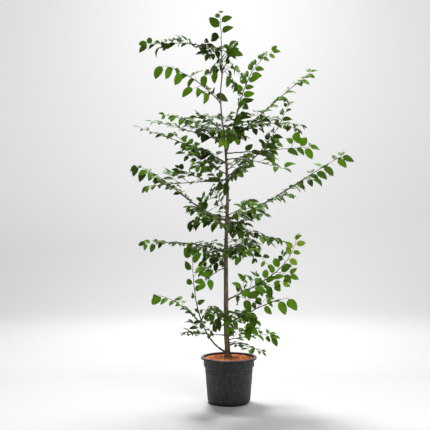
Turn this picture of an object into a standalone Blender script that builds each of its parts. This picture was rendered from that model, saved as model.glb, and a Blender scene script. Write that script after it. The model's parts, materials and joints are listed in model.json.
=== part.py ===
"""A young European hornbeam in a nursery pot, as separate closed solids.

Metres, +Z up. The origin is the middle of the pot's flat underside. +X is to the right and +Y
to the back of the side that the tree shows. Bearings are degrees in plan: 0 right, 90 back,
180 left, 270 front. The crown grows by a seeded rule from a short table of its limbs.
"""

import math
import random
from dataclasses import dataclass

import bmesh
import bpy
from mathutils import Matrix, Vector
from mathutils.bvhtree import BVHTree

# Clearance between neighbouring solids, and of a limb's foot from the bark that carries it
GAP = 0.0003
SEAT = 0.00036
BARK_STEP = 0.008
UP = Vector((0, 0, 1))

# Nursery pot
POT_HEIGHT = 0.225
POT_WALL = 0.002
POT_SIDES = 32
RIM_RADIUS = 0.1385
RIM_SKIRT = 0.0095
RIM_EDGE = 0.0015
COLLAR_TOP_RADIUS = 0.127
COLLAR_FOOT_RADIUS = 0.125
COLLAR_FOOT = 0.180
BODY_TOP_RADIUS = 0.119
BODY_TOP = 0.176
BODY_FOOT_RADIUS = 0.106
BODY_FOOT = 0.015
BASE_RADIUS = 0.097
DRAIN_HOLES = 8
DRAIN_HOLE_RADIUS = 0.006
DRAIN_HOLE_SIDES = 8
DRAIN_RING_RADIUS = 0.078

# Potting mix
FILL_TOP = 0.213
MOUND_TOP = 0.222
MOUND_RADIUS = 0.030
MOUND_FOOT = 0.215
MOUND_FOOT_RADIUS = 0.075

# Trunk: height, place to the right, place to the back, radius
TRUNK_SIDES = 12
TRUNK_STATIONS = (
    (MOUND_TOP + GAP, -0.004, 0.000, 0.0195),
    (0.230, -0.005, 0.000, 0.0160),
    (0.250, -0.006, 0.000, 0.0140),
    (0.360, -0.013, 0.002, 0.0122),
    (0.510, -0.014, 0.004, 0.0113),
    (0.760, -0.014, 0.001, 0.0096),
    (0.860, -0.0115, -0.001, 0.0088),
    (0.985, -0.0065, -0.002, 0.0080),
    (1.110, -0.009, 0.000, 0.0068),
    (1.235, -0.015, 0.003, 0.0058),
    (1.335, -0.024, 0.004, 0.0048),
    (1.435, -0.0365, 0.003, 0.0039),
    (1.535, -0.041, 0.001, 0.0033),
    (1.635, -0.034, -0.001, 0.0029),
    (1.735, -0.035, 0.000, 0.0025),
    (1.800, -0.037, 0.001, 0.0022),
)

# Limbs
BOUGH_SIDES = 6
STEM_SIDES = 3
RING_SPACING = 0.085
CURVE_SAMPLES = 60
LIMB_TIP_RADIUS = 0.0008
LIMB_TAPER = 0.9
FIRST_SEED = 100

# Twigs: where they sit along a stem, how they leave it and how long they are
TWIG_FOOT_RADIUS = 0.0012
TWIG_TIP_RADIUS = 0.0006
TWIG_STEM_SHARE = 0.48
TWIG_FIRST = 0.12
TWIG_STRETCH = 0.70
TWIG_SPREAD = 42.0
TWIG_SPREAD_JITTER = 10.0
TWIG_FACE_SHARE = 0.5
TWIG_FACE_JITTER = 20.0
TWIG_LIFT = 0.08
TWIG_LIFT_JITTER = 0.1
TWIG_SHORTEST = 0.060
TWIG_GROWTH = 0.110
TWIG_LENGTH_RANGE = (0.8, 1.2)
TWIG_SIDE_WAY = Vector((0.3, 0.2, 1))

# Leaves: an egg-shaped blade, folded along its midrib and curled down at its tip
LEAF_WIDTH = 0.56
LEAF_BROADEST = 0.46
LEAF_THICKNESS = 0.022
LEAF_FOLD = 0.06
LEAF_CURL = 0.10
LEAF_SPREAD = 54.0
LEAF_SPREAD_JITTER = 14.0
END_LEAF_SPREAD_SHARE = 0.25
LEAF_FACE_JITTER = 28.0
LEAF_LENGTH_RANGE = (0.80, 1.16)
LEAF_HANG_RANGE = (0.5, 1.5)
LEAF_SPACING = 0.050
FIRST_STEM_LEAF = 0.040
FIRST_TWIG_LEAF = 0.032
LAST_LEAF_SHARE = 0.995
LEAF_CLEARANCE = 0.0006
SPACE_RADIUS = 0.16
RIM_CLEARANCE = 0.004


@dataclass
class Limb:
    """One limb of the crown, from its foot on the trunk to its tip."""

    name: str
    foot: float  # height on the trunk, or share of the length of the bough that carries it
    bearing: float
    reach: float  # how far out its tip is from its foot
    rise: float  # how far up its tip is from its foot
    leave: float  # slope at its foot, in degrees
    arrive: float  # slope at its tip
    stout: float = 0.0024  # radius at its foot
    bare: float = 0.0  # share of its length that is a bare bough
    leaf: float = 0.062
    tip_leaf: float = 1.0  # size of the leaves at its tip, beside those at its foot
    face: float = 38.0  # degrees that its sprays turn from lying flat to standing upright
    hang: float = 0.30  # how far its leaves droop
    twigs: int = 3
    carrier: str = ""  # the limb whose bough carries it, where that isn't the trunk


LIMBS = (
    Limb("left_1", 0.247, 192, 0.165, 0.470, 30, 88, stout=0.0046, bare=0.40, twigs=3, leaf=0.060),
    Limb("left_2", 0.93, 176, 0.215, 0.140, 46, 10, twigs=2, leaf=0.056, tip_leaf=1.3,
         carrier="left_1"),
    Limb("left_3", 0.330, 204, 0.205, 0.015, 6, -4, twigs=4, leaf=0.050),
    Limb("left_4", 0.400, 150, 0.120, 0.050, 30, 14, twigs=2, leaf=0.056),
    Limb("left_5", 0.660, 212, 0.110, -0.060, -10, -38, twigs=1, leaf=0.064, face=55),
    Limb("left_6", 0.700, 140, 0.160, 0.060, 24, 14, twigs=2, leaf=0.058),
    Limb("left_7", 0.740, 188, 0.385, 0.045, 24, -4, stout=0.0040, bare=0.24, twigs=5, leaf=0.056,
         tip_leaf=1.3),
    Limb("left_8", 0.875, 226, 0.165, 0.060, 22, 6, twigs=3, leaf=0.058),
    Limb("left_9", 0.902, 172, 0.450, 0.278, 16, 20, stout=0.0048, bare=0.24, twigs=5, leaf=0.056,
         tip_leaf=1.35),
    Limb("left_10", 1.105, 162, 0.430, -0.022, -4, -4, stout=0.0034, twigs=6, leaf=0.058),
    Limb("left_11", 1.135, 214, 0.170, 0.110, 18, 50, twigs=4, leaf=0.064, face=60),
    Limb("left_12", 1.190, 184, 0.430, 0.172, 32, 20, stout=0.0036, bare=0.22, twigs=5, leaf=0.064,
         tip_leaf=0.6),
    Limb("left_13", 1.300, 158, 0.405, 0.125, 17, 12, stout=0.0034, bare=0.20, twigs=5, leaf=0.060),
    Limb("left_14", 1.330, 206, 0.315, 0.075, 25, 6, stout=0.0030, twigs=5, leaf=0.060),
    Limb("left_15", 1.495, 196, 0.290, 0.165, 46, 10, stout=0.0032, bare=0.30, twigs=2, leaf=0.080,
         hang=0.80, face=55),
    Limb("left_16", 1.755, 168, 0.385, 0.055, 24, -5, twigs=5, leaf=0.058, tip_leaf=1.25, hang=0.4),
    Limb("leader", 1.800, 180, 0.006, 0.150, 90, 88, stout=0.0022, twigs=0, leaf=0.086,
         tip_leaf=0.5, face=12, hang=0.1),
    Limb("right_1", 0.293, 328, 0.180, -0.030, 2, -20, twigs=2, leaf=0.056),
    Limb("right_2", 0.306, 22, 0.225, 0.016, 10, 2, twigs=3, leaf=0.054),
    Limb("right_3", 0.392, 342, 0.300, 0.130, 24, 10, stout=0.0042, bare=0.30, twigs=3, leaf=0.078,
         hang=0.70, face=55),
    Limb("right_4", 0.505, 12, 0.355, 0.295, 24, 80, stout=0.0040, bare=0.28, twigs=5, leaf=0.070,
         face=60),
    Limb("right_5", 0.760, 318, 0.165, 0.005, 14, -6, twigs=4, leaf=0.064, face=50),
    Limb("right_6", 0.842, 26, 0.300, -0.045, 10, -12, stout=0.0028, twigs=5, leaf=0.060),
    Limb("right_7", 0.872, 52, 0.245, 0.047, 16, 8, stout=0.0026, twigs=4, leaf=0.060),
    Limb("right_8", 0.886, 338, 0.205, -0.205, -26, -52, stout=0.0026, twigs=3, leaf=0.060, face=50),
    Limb("right_9", 0.906, 5, 0.575, 0.320, 18, 28, stout=0.0050, bare=0.26, twigs=6, leaf=0.060,
         tip_leaf=1.3),
    Limb("right_10", 0.925, 308, 0.215, 0.030, 18, 0, twigs=4, leaf=0.070, face=60),
    Limb("right_11", 1.125, 350, 0.298, 0.335, 22, 68, stout=0.0036, bare=0.36, twigs=4, leaf=0.060),
    Limb("right_12", 1.205, 325, 0.320, -0.065, 6, -14, stout=0.0028, twigs=4, leaf=0.068,
         tip_leaf=0.8, face=60),
    Limb("right_13", 1.238, 8, 0.425, 0.040, 4, 5, stout=0.0032, twigs=6, leaf=0.062, face=60),
    Limb("right_14", 1.250, 342, 0.235, 0.480, 68, 24, stout=0.0040, bare=0.36, twigs=5, leaf=0.062,
         face=55),
    Limb("right_15", 1.275, 22, 0.488, 0.420, 42, 38, stout=0.0036, bare=0.24, twigs=5, leaf=0.064,
         tip_leaf=0.8),
    Limb("right_16", 1.322, 334, 0.390, 0.030, 26, -12, stout=0.0030, twigs=5, leaf=0.062),
    Limb("right_17", 1.705, 312, 0.060, 0.035, 32, 10, stout=0.0018, twigs=2, leaf=0.080, face=62),
    Limb("front_1", 0.450, 284, 0.210, -0.020, 12, -12, twigs=4, leaf=0.060),
    Limb("front_2", 0.855, 264, 0.270, 0.020, 12, -4, stout=0.0026, twigs=5, leaf=0.060),
    Limb("front_3", 1.090, 280, 0.290, 0.020, 20, -6, stout=0.0026, twigs=5, leaf=0.070),
    Limb("front_4", 1.322, 262, 0.260, -0.010, 16, -14, twigs=5, leaf=0.060),
    Limb("back_1", 0.420, 104, 0.300, 0.025, 10, -4, stout=0.0028, twigs=5, leaf=0.062),
    Limb("back_2", 0.700, 76, 0.345, 0.105, 24, 8, stout=0.0028, twigs=5, leaf=0.062),
    Limb("back_3", 0.940, 102, 0.385, 0.150, 26, 14, stout=0.0030, twigs=5, leaf=0.062),
    Limb("back_4", 1.150, 68, 0.375, 0.120, 24, 10, stout=0.0028, twigs=5, leaf=0.062),
    Limb("back_5", 1.345, 112, 0.320, 0.110, 30, 12, stout=0.0026, twigs=5, leaf=0.062),
    Limb("back_6", 1.640, 70, 0.165, 0.085, 32, 20, stout=0.0022, twigs=3, leaf=0.068),
)


@dataclass
class Shoot:
    """A centre line and the radius at each of its points."""

    points: list
    radii: list

    def at(self, share):
        """The point, direction and radius at this share of its length."""
        steps = [(b - a).length for a, b in zip(self.points, self.points[1:])]
        left = share * sum(steps)
        for i, step in enumerate(steps):
            if left <= step or i == len(steps) - 1:
                part = min(left / step, 1.0)
                point = self.points[i].lerp(self.points[i + 1], part)
                radius = self.radii[i] + (self.radii[i + 1] - self.radii[i]) * part
                return point, (self.points[i + 1] - self.points[i]).normalized(), radius
            left -= step

    def length(self):
        return sum((b - a).length for a, b in zip(self.points, self.points[1:]))


def clear_scene():
    for obj in list(bpy.data.objects):
        bpy.data.objects.remove(obj, do_unlink=True)


def material(name, colour, roughness):
    """A plain material of this colour and roughness."""
    made = bpy.data.materials.new(name)
    made.use_nodes = True
    shader = made.node_tree.nodes["Principled BSDF"]
    shader.inputs["Base Color"].default_value = (*colour, 1)
    shader.inputs["Roughness"].default_value = roughness
    shader.inputs["Metallic"].default_value = 0.0
    made.diffuse_color = (*colour, 1)
    return made


def mesh_object(name, points, faces, finish=None, collection=None):
    """An object made of these points and faces, in the scene or in another collection."""
    mesh = bpy.data.meshes.new(name)
    mesh.from_pydata(points, [], faces)
    if finish:
        mesh.materials.append(finish)
    obj = bpy.data.objects.new(name, mesh)
    (collection or bpy.context.scene.collection).objects.link(obj)
    return obj


def turned(name, profile, finish):
    """A solid of revolution about Z, from a closed profile that starts and ends on the axis."""
    points = [(radius, 0, height) for radius, height in profile]
    edges = [(i, i + 1) for i in range(len(points) - 1)]
    mesh = bpy.data.meshes.new(name)
    mesh.from_pydata(points, edges, [])
    mesh.materials.append(finish)
    obj = bpy.data.objects.new(name, mesh)
    bpy.context.scene.collection.objects.link(obj)
    screw = obj.modifiers.new("turn", "SCREW")
    screw.axis = "Z"
    screw.steps = POT_SIDES
    screw.render_steps = POT_SIDES
    screw.use_merge_vertices = True
    screw.merge_threshold = 0.0001
    screw.use_smooth_shade = False
    return obj


def wall_inside(radius):
    return radius - POT_WALL


def pot_profile():
    """Down the outside from the rim, then up the inside, with the rim's skirt turned down."""
    skirt_foot = POT_HEIGHT - RIM_SKIRT
    under_rim = POT_HEIGHT - POT_WALL
    floor = POT_WALL
    return (
        (0, floor),
        (wall_inside(BASE_RADIUS), floor),
        (wall_inside(BODY_FOOT_RADIUS), BODY_FOOT),
        (wall_inside(BODY_TOP_RADIUS), BODY_TOP),
        (wall_inside(COLLAR_FOOT_RADIUS), COLLAR_FOOT),
        (wall_inside(COLLAR_TOP_RADIUS), POT_HEIGHT),
        (RIM_RADIUS - RIM_EDGE, POT_HEIGHT),
        (RIM_RADIUS, POT_HEIGHT - RIM_EDGE),
        (RIM_RADIUS, skirt_foot),
        (RIM_RADIUS - POT_WALL, skirt_foot),
        (RIM_RADIUS - POT_WALL, under_rim),
        (COLLAR_TOP_RADIUS, under_rim),
        (COLLAR_FOOT_RADIUS, COLLAR_FOOT),
        (BODY_TOP_RADIUS, BODY_TOP),
        (BODY_FOOT_RADIUS, BODY_FOOT),
        (BASE_RADIUS, 0),
        (0, 0),
    )


def make_pot():
    finish = material("pot_plastic", (0.022, 0.022, 0.024), 0.55)
    pot = turned("pot", pot_profile(), finish)
    helpers = bpy.data.collections.new("drain_cutters")
    for i in range(DRAIN_HOLES):
        bearing = math.tau * (i + 0.5) / DRAIN_HOLES
        place = Vector((math.cos(bearing), math.sin(bearing), 0)) * DRAIN_RING_RADIUS
        add_drain_cutter(f"drain_cutter_{i + 1}", place, helpers)
    join_or_cut(pot, helpers, "DIFFERENCE")
    return pot


def add_drain_cutter(name, place, helpers):
    mesh = bpy.data.meshes.new(name)
    drill = bmesh.new()
    bmesh.ops.create_cone(drill, cap_ends=True, segments=DRAIN_HOLE_SIDES,
                          radius1=DRAIN_HOLE_RADIUS, radius2=DRAIN_HOLE_RADIUS, depth=POT_WALL * 4)
    drill.to_mesh(mesh)
    drill.free()
    mesh.transform(Matrix.Translation(place))
    helpers.objects.link(bpy.data.objects.new(name, mesh))


def make_substrate():
    """The mix that fills the pot, a gap inside its wall, with a low mound round the trunk."""
    finish = material("potting_mix", (0.20, 0.075, 0.032), 0.95)
    inside = POT_WALL + GAP
    share = (FILL_TOP - COLLAR_FOOT) / (POT_HEIGHT - COLLAR_FOOT)
    top_radius = COLLAR_FOOT_RADIUS + (COLLAR_TOP_RADIUS - COLLAR_FOOT_RADIUS) * share
    floor = POT_WALL + GAP
    return turned("substrate", (
        (0, MOUND_TOP),
        (MOUND_RADIUS, MOUND_TOP),
        (MOUND_FOOT_RADIUS, MOUND_FOOT),
        (top_radius - inside, FILL_TOP),
        (COLLAR_FOOT_RADIUS - inside - GAP, COLLAR_FOOT + GAP),
        (BODY_TOP_RADIUS - inside - GAP, BODY_TOP + GAP),
        (BODY_FOOT_RADIUS - inside - GAP, BODY_FOOT + GAP),
        (BASE_RADIUS - inside - GAP, floor),
        (0, floor),
    ), finish)


def trunk_at(height):
    """The trunk's centre and radius at this height."""
    last = len(TRUNK_STATIONS) - 1
    upper = next((i for i, row in enumerate(TRUNK_STATIONS) if row[0] > height), last)
    low, high = TRUNK_STATIONS[upper - 1], TRUNK_STATIONS[upper]
    part = (height - low[0]) / (high[0] - low[0])
    right, back, radius = (a + (b - a) * part for a, b in zip(low[1:], high[1:]))
    return Vector((right, back, height)), radius


def trunk_shoot():
    """The trunk's centre line and radii, with a ring at each station."""
    points = [Vector((right, back, height)) for height, right, back, _ in TRUNK_STATIONS]
    return Shoot(points, [station[3] for station in TRUNK_STATIONS])


def tube(shoot, sides, side_way, foot_normal=None):
    """Points and faces of a closed tube. Its foot can be sheared into the plane with this normal."""
    points = []
    count = len(shoot.points)
    for i, (centre, radius) in enumerate(zip(shoot.points, shoot.radii)):
        ahead = shoot.points[min(i + 1, count - 1)]
        behind = shoot.points[max(i - 1, 0)]
        along = (ahead - behind).normalized()
        right = (side_way - along * side_way.dot(along)).normalized()
        over = right.cross(along)
        for k in range(sides):
            turn = math.tau * k / sides
            point = centre + (right * math.cos(turn) + over * math.sin(turn)) * radius
            if i == 0 and foot_normal:
                point -= along * ((point - centre).dot(foot_normal) / along.dot(foot_normal))
            points.append(point)
    faces = [tuple(range(sides))]
    for i in range(count - 1):
        for k in range(sides):
            a, b = i * sides + k, i * sides + (k + 1) % sides
            faces.append((b, a, a + sides, b + sides))
    faces.append(tuple(reversed(range((count - 1) * sides, count * sides))))
    return points, faces


def make_trunk(shoot):
    """The trunk from its flat cut at the top of the mix to the foot of the leading shoot."""
    finish = material("trunk_bark", (0.16, 0.12, 0.08), 0.85)
    points, faces = tube(shoot, TRUNK_SIDES, Vector((1, 0, 0)))
    foot = shoot.points[0].z
    for k in range(TRUNK_SIDES):
        points[k].z = foot
    return mesh_object("trunk", points, faces, finish)


def outward(bearing):
    return Vector((math.cos(math.radians(bearing)), math.sin(math.radians(bearing)), 0))


def limb_curve(start, limb):
    """A smooth line from start to the limb's tip, in the upright plane of its bearing."""
    out = outward(limb.bearing)
    end = start + out * limb.reach + UP * limb.rise
    pull = (end - start).length
    leave, arrive = math.radians(limb.leave), math.radians(limb.arrive)
    leaving = (out * math.cos(leave) + UP * math.sin(leave)) * pull
    arriving = (out * math.cos(arrive) + UP * math.sin(arrive)) * pull

    def at(t):
        return (
            start * (2 * t**3 - 3 * t**2 + 1) + leaving * (t**3 - 2 * t**2 + t)
            + end * (3 * t**2 - 2 * t**3) + arriving * (t**3 - t**2)
        )

    return at


def bark_point(height, out):
    """The place on the trunk's bark at this height, on the side that out points to."""
    centre, radius = trunk_at(height)
    return centre + out * radius


def carried_start(limb, carrier):
    """Where the limb leaves its carrier, a gap clear of its bark, and the normal of the bark there."""
    out = outward(limb.bearing)
    if limb.foot >= TRUNK_STATIONS[-1][0]:
        return carrier.points[-1] + UP * GAP, None
    if limb.carrier:
        point, along, radius = carrier.at(limb.foot)
    else:
        point, radius = trunk_at(limb.foot)
        above, below = limb.foot + BARK_STEP, limb.foot - BARK_STEP
        along = (bark_point(above, out) - bark_point(below, out)).normalized()
    normal = (out - along * out.dot(along)).normalized()
    return point + normal * (radius + SEAT), normal


def limb_shoots(limb, carrier):
    """The limb's bough, where it has one, its leafy stem, and the normal of the bark at its foot."""
    start, normal = carried_start(limb, carrier)
    curve = limb_curve(start, limb)
    samples = [curve(i / CURVE_SAMPLES) for i in range(CURVE_SAMPLES + 1)]
    fine = Shoot(samples, [0.0] * len(samples))
    whole = fine.length()

    def stretch(first, last, spare):
        rings = max(3, round((last - first) * whole / RING_SPACING) + 1)
        points, radii = [], []
        for i in range(rings):
            share = first + (last - first) * i / (rings - 1)
            if i == 0:
                share += spare / whole
            points.append(fine.at(share)[0])
            radii.append(LIMB_TIP_RADIUS + (limb.stout - LIMB_TIP_RADIUS) * (1 - share) ** LIMB_TAPER)
        return Shoot(points, radii)

    if not limb.bare:
        return None, stretch(0.0, 1.0, 0.0), normal
    return stretch(0.0, limb.bare, 0.0), stretch(limb.bare, 1.0, GAP), normal


class Crowd:
    """What already stands in the crown, so that nothing new touches it."""

    def __init__(self):
        self.standing = []

    @staticmethod
    def box(points):
        return [(min(p[k] for p in points), max(p[k] for p in points)) for k in range(3)]

    def add(self, owner, points, faces):
        self.standing.append((owner, self.box(points), BVHTree.FromPolygons(points, faces)))

    def is_free(self, points, faces, own):
        """Whether these faces touch nothing, apart from the shoots named in own."""
        box = self.box(points)
        tree = None
        for owner, other, standing in self.standing:
            if owner in own:
                continue
            if any(box[k][0] > other[k][1] or box[k][1] < other[k][0] for k in range(3)):
                continue
            tree = tree or BVHTree.FromPolygons(points, faces)
            if tree.overlap(standing):
                return False
        return True


def leaf_blade(root, along, face, length, grow=0.0):
    """Six points and eight faces: root, two edges, tip, and the midrib's upper and lower side."""
    side = along.cross(face)
    broad = root + along * (length * LEAF_BROADEST)
    half_width = length * LEAF_WIDTH / 2 + grow
    half_thick = length * LEAF_THICKNESS / 2 + grow
    rib = broad - face * (length * LEAF_FOLD)
    tip = root + along * (length + grow) - face * (length * LEAF_CURL)
    points = [
        root, broad - side * half_width, broad + side * half_width, tip,
        rib + face * half_thick, rib - face * half_thick,
    ]
    faces = [(0, 4, 1), (0, 2, 4), (3, 1, 4), (3, 4, 2), (0, 1, 5), (0, 5, 2), (3, 5, 1), (3, 2, 5)]
    return points, faces


def spray_axes(along, face):
    """The way that a spray spreads and the way that it faces, turned this far towards the front."""
    across = UP.cross(along)
    if across.length < 0.2:
        across = Vector((1, 0, 0))
    across.normalize()
    if across.y < 0:
        across.negate()
    above = along.cross(across)
    if above.z < 0 or (above.z < 0.2 and above.y > 0):
        above.negate()
    turned_by = math.radians(face)
    spread = across * math.cos(turned_by) + above * math.sin(turned_by)
    facing = above * math.cos(turned_by) - across * math.sin(turned_by)
    return spread, facing


def leaf_places(shoot, stem, limb, draw, first, along_limb):
    """Root, direction, face and length of the leaves along a shoot, left and right by turns.

    along_limb gives the shares of the limb's length where the shoot's own ends lie.
    """
    length = shoot.length()
    places = []
    count = max(1, round((length - first) / LEAF_SPACING))
    side = draw.choice((-1, 1))
    for i in range(count + 1):
        share = min((first + (length - first) * i / count) / length, LAST_LEAF_SHARE)
        point, along, _ = shoot.at(share)
        across, above = spray_axes(along, limb.face + draw.uniform(-LEAF_FACE_JITTER, LEAF_FACE_JITTER))
        side = -side
        spread = math.radians(LEAF_SPREAD + draw.uniform(-LEAF_SPREAD_JITTER, LEAF_SPREAD_JITTER))
        if i == count:
            spread *= END_LEAF_SPREAD_SHARE
        way = along * math.cos(spread) + across * (side * math.sin(spread))
        out = along_limb[0] + (along_limb[1] - along_limb[0]) * share
        hang = limb.hang * (0.7 + 0.6 * out) * draw.uniform(*LEAF_HANG_RANGE)
        way = (way - UP * hang).normalized()
        face = (above - way * above.dot(way)).normalized()
        long = limb.leaf * (1 + (limb.tip_leaf - 1) * out) * draw.uniform(*LEAF_LENGTH_RANGE)
        if is_in_space(point + way * long, stem):
            places.append((point, way, face, long))
    return places


def dressed(places, own, crowd):
    """The blades that have room, out of these places on the shoot that own names first."""
    kept = []
    for number, (point, way, face, long) in enumerate(places):
        grown, faces = leaf_blade(point, way, face, long, LEAF_CLEARANCE)
        if crowd.is_free(grown, faces, own):
            points, faces = leaf_blade(point, way, face, long)
            crowd.add(f"{own[0]}_leaf_{number}", points, faces)
            kept.append((points, faces))
    return kept


def is_in_space(tip, stem):
    """Whether a leaf's tip stays near its mass's stem and above the pot's rim."""
    near = min((tip - point).length for point in stem.points)
    return near < SPACE_RADIUS and tip.z > POT_HEIGHT + RIM_CLEARANCE


def side_twig(stem, limb, share, side, draw):
    """A short straight shoot that leaves the stem to one side."""
    point, along, radius = stem.at(share)
    face = limb.face * TWIG_FACE_SHARE + draw.uniform(-TWIG_FACE_JITTER, TWIG_FACE_JITTER)
    across, _ = spray_axes(along, face)
    spread = math.radians(TWIG_SPREAD + draw.uniform(-TWIG_SPREAD_JITTER, TWIG_SPREAD_JITTER))
    way = along * math.cos(spread) + across * (side * math.sin(spread)) + UP * TWIG_LIFT
    way = (way + UP * draw.uniform(-TWIG_LIFT_JITTER, TWIG_LIFT_JITTER)).normalized()
    long = (TWIG_SHORTEST + TWIG_GROWTH * (1 - share)) * draw.uniform(*TWIG_LENGTH_RANGE)
    foot = min(TWIG_FOOT_RADIUS, radius * TWIG_STEM_SHARE)
    return Shoot([point, point + way * long], [foot, TWIG_TIP_RADIUS])


def widened(shoot, by):
    return Shoot(shoot.points, [radius + by for radius in shoot.radii])


def grow_mass(limb, stem, stem_mesh, crowd, finish, draw):
    """A stem with its twigs and leaves, fused into one solid."""
    places = leaf_places(stem, stem, limb, draw, FIRST_STEM_LEAF, (0.0, 1.0))
    pieces = dressed(places, (limb.name,), crowd)
    side = draw.choice((-1, 1))
    for i in range(limb.twigs):
        share = TWIG_FIRST + TWIG_STRETCH * (i + draw.uniform(0.2, 0.8)) / limb.twigs
        side = -side
        twig = side_twig(stem, limb, share, side, draw)
        grown, faces = tube(widened(twig, LEAF_CLEARANCE), STEM_SIDES, TWIG_SIDE_WAY)
        if not crowd.is_free(grown, faces, (limb.name,)):
            continue
        points, faces = tube(twig, STEM_SIDES, TWIG_SIDE_WAY)
        twig_name = f"{limb.name}_twig_{i}"
        crowd.add(twig_name, points, faces)
        pieces.append((points, faces))
        places = leaf_places(twig, stem, limb, draw, FIRST_TWIG_LEAF, (share, share))
        pieces += dressed(places, (twig_name, limb.name), crowd)
    mass = mesh_object(f"foliage_{limb.name}", *stem_mesh, finish)
    helpers = bpy.data.collections.new(f"{limb.name}_pieces")
    for number, (points, faces) in enumerate(pieces):
        mesh_object(f"{limb.name}_piece_{number}", points, faces, None, helpers)
    join_or_cut(mass, helpers, "UNION")
    keep_largest_body(mass)


def join_or_cut(obj, helpers, operation):
    """Joins a collection's objects to obj, or cuts them from it, applies that and removes them."""
    bpy.context.scene.collection.children.link(helpers)
    boolean = obj.modifiers.new(operation.lower(), "BOOLEAN")
    boolean.operation = operation
    boolean.operand_type = "COLLECTION"
    boolean.collection = helpers
    boolean.solver = "EXACT"
    bpy.context.view_layer.update()
    graph = bpy.context.evaluated_depsgraph_get()
    mesh = bpy.data.meshes.new_from_object(obj.evaluated_get(graph))
    obj.modifiers.clear()
    obj.data = mesh
    for helper in list(helpers.objects):
        bpy.data.objects.remove(helper, do_unlink=True)
    bpy.data.collections.remove(helpers)


def keep_largest_body(obj):
    """Drops loose scraps and any hollow that the join sealed."""
    work = bmesh.new()
    work.from_mesh(obj.data)
    bodies = []
    unseen = set(work.verts)
    while unseen:
        body = {unseen.pop()}
        edge = set(body)
        while edge:
            edge = {e.other_vert(v) for v in edge for e in v.link_edges} & unseen
            unseen -= edge
            body |= edge
        bodies.append(body)
    bodies.sort(key=len)
    bmesh.ops.delete(work, geom=[v for body in bodies[:-1] for v in body], context="VERTS")
    work.to_mesh(obj.data)
    work.free()


def stand_in(crowd, objects):
    """Adds finished objects to what the crown keeps clear of."""
    bpy.context.view_layer.update()
    graph = bpy.context.evaluated_depsgraph_get()
    for obj in objects:
        mesh = obj.evaluated_get(graph).to_mesh()
        points = [vertex.co.copy() for vertex in mesh.vertices]
        crowd.add(obj.name, points, [tuple(face.vertices) for face in mesh.polygons])


def make_limbs(trunk_line, crowd):
    """Makes the bare boughs, and gives each limb's leafy stem as a line and as a mesh."""
    bark = material("bough_bark", (0.15, 0.11, 0.07), 0.80)
    boughs = {}
    stems = []
    for limb in LIMBS:
        carrier = boughs[limb.carrier] if limb.carrier else trunk_line
        bough, stem, normal = limb_shoots(limb, carrier)
        side_way = UP.cross(outward(limb.bearing))
        if bough:
            points, faces = tube(bough, BOUGH_SIDES, side_way, normal)
            mesh_object(f"bough_{limb.name}", points, faces, bark)
            crowd.add(f"bough_{limb.name}", points, faces)
            boughs[limb.name] = bough
            normal = (bough.points[-1] - bough.points[-2]).normalized()
        points, faces = tube(stem, STEM_SIDES, side_way, normal)
        crowd.add(limb.name, points, faces)
        stems.append((limb, stem, (points, faces)))
    return stems


def main():
    clear_scene()
    pot = make_pot()
    substrate = make_substrate()
    trunk_line = trunk_shoot()
    trunk = make_trunk(trunk_line)
    crowd = Crowd()
    stand_in(crowd, (pot, substrate, trunk))
    stems = make_limbs(trunk_line, crowd)
    green = material("foliage_green", (0.045, 0.16, 0.03), 0.50)
    for number, (limb, stem, stem_mesh) in enumerate(stems):
        grow_mass(limb, stem, stem_mesh, crowd, green, random.Random(FIRST_SEED + number))


main()
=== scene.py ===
import json
import math
import random
from dataclasses import dataclass
from functools import cache

import bmesh
import bpy
from mathutils import Matrix, Vector, noise
from mathutils.bvhtree import BVHTree

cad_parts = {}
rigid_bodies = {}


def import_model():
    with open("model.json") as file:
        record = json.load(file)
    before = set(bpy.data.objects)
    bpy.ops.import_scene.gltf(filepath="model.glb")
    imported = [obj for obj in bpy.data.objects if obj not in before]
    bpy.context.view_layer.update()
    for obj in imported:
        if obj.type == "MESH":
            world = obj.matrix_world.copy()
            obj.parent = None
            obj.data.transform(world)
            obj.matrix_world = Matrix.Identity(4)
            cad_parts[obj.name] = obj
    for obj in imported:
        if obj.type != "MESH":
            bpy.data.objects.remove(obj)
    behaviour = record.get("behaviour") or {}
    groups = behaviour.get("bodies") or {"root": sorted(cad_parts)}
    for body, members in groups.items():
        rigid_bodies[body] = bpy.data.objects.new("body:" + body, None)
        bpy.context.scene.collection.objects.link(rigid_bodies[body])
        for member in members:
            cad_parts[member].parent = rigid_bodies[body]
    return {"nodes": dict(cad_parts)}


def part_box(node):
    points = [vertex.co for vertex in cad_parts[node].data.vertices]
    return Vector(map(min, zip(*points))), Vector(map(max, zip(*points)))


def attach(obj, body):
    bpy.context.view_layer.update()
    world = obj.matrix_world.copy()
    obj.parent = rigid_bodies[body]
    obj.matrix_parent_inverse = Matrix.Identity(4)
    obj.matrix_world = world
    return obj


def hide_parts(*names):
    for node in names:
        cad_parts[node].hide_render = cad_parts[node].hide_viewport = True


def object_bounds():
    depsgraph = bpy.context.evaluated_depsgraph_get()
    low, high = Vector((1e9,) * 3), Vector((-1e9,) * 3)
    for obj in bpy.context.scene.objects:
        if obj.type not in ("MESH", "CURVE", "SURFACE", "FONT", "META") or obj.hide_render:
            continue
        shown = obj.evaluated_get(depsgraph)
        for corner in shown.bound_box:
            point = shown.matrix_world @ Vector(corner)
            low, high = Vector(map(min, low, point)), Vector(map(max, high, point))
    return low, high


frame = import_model()
SOLID_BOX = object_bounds()

bl_info = {
    "name": "Potted hornbeam",
    "version": (1, 0, 0),
    "blender": (4, 5, 0),
    "location": "3D View > Sidebar > Hornbeam",
    "description": "Dresses the solids of a hornbeam: pot, potting mix, bark, twigs, buds and leaves",
    "category": "Object",
}

# Metres, +Z up. +X is to the right and +Y to the back of the side that the tree shows.
# Bearings are degrees in plan: 0 right, 90 back, 180 left, 270 front.
UP = Vector((0, 0, 1))
BODY = "root"

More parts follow.
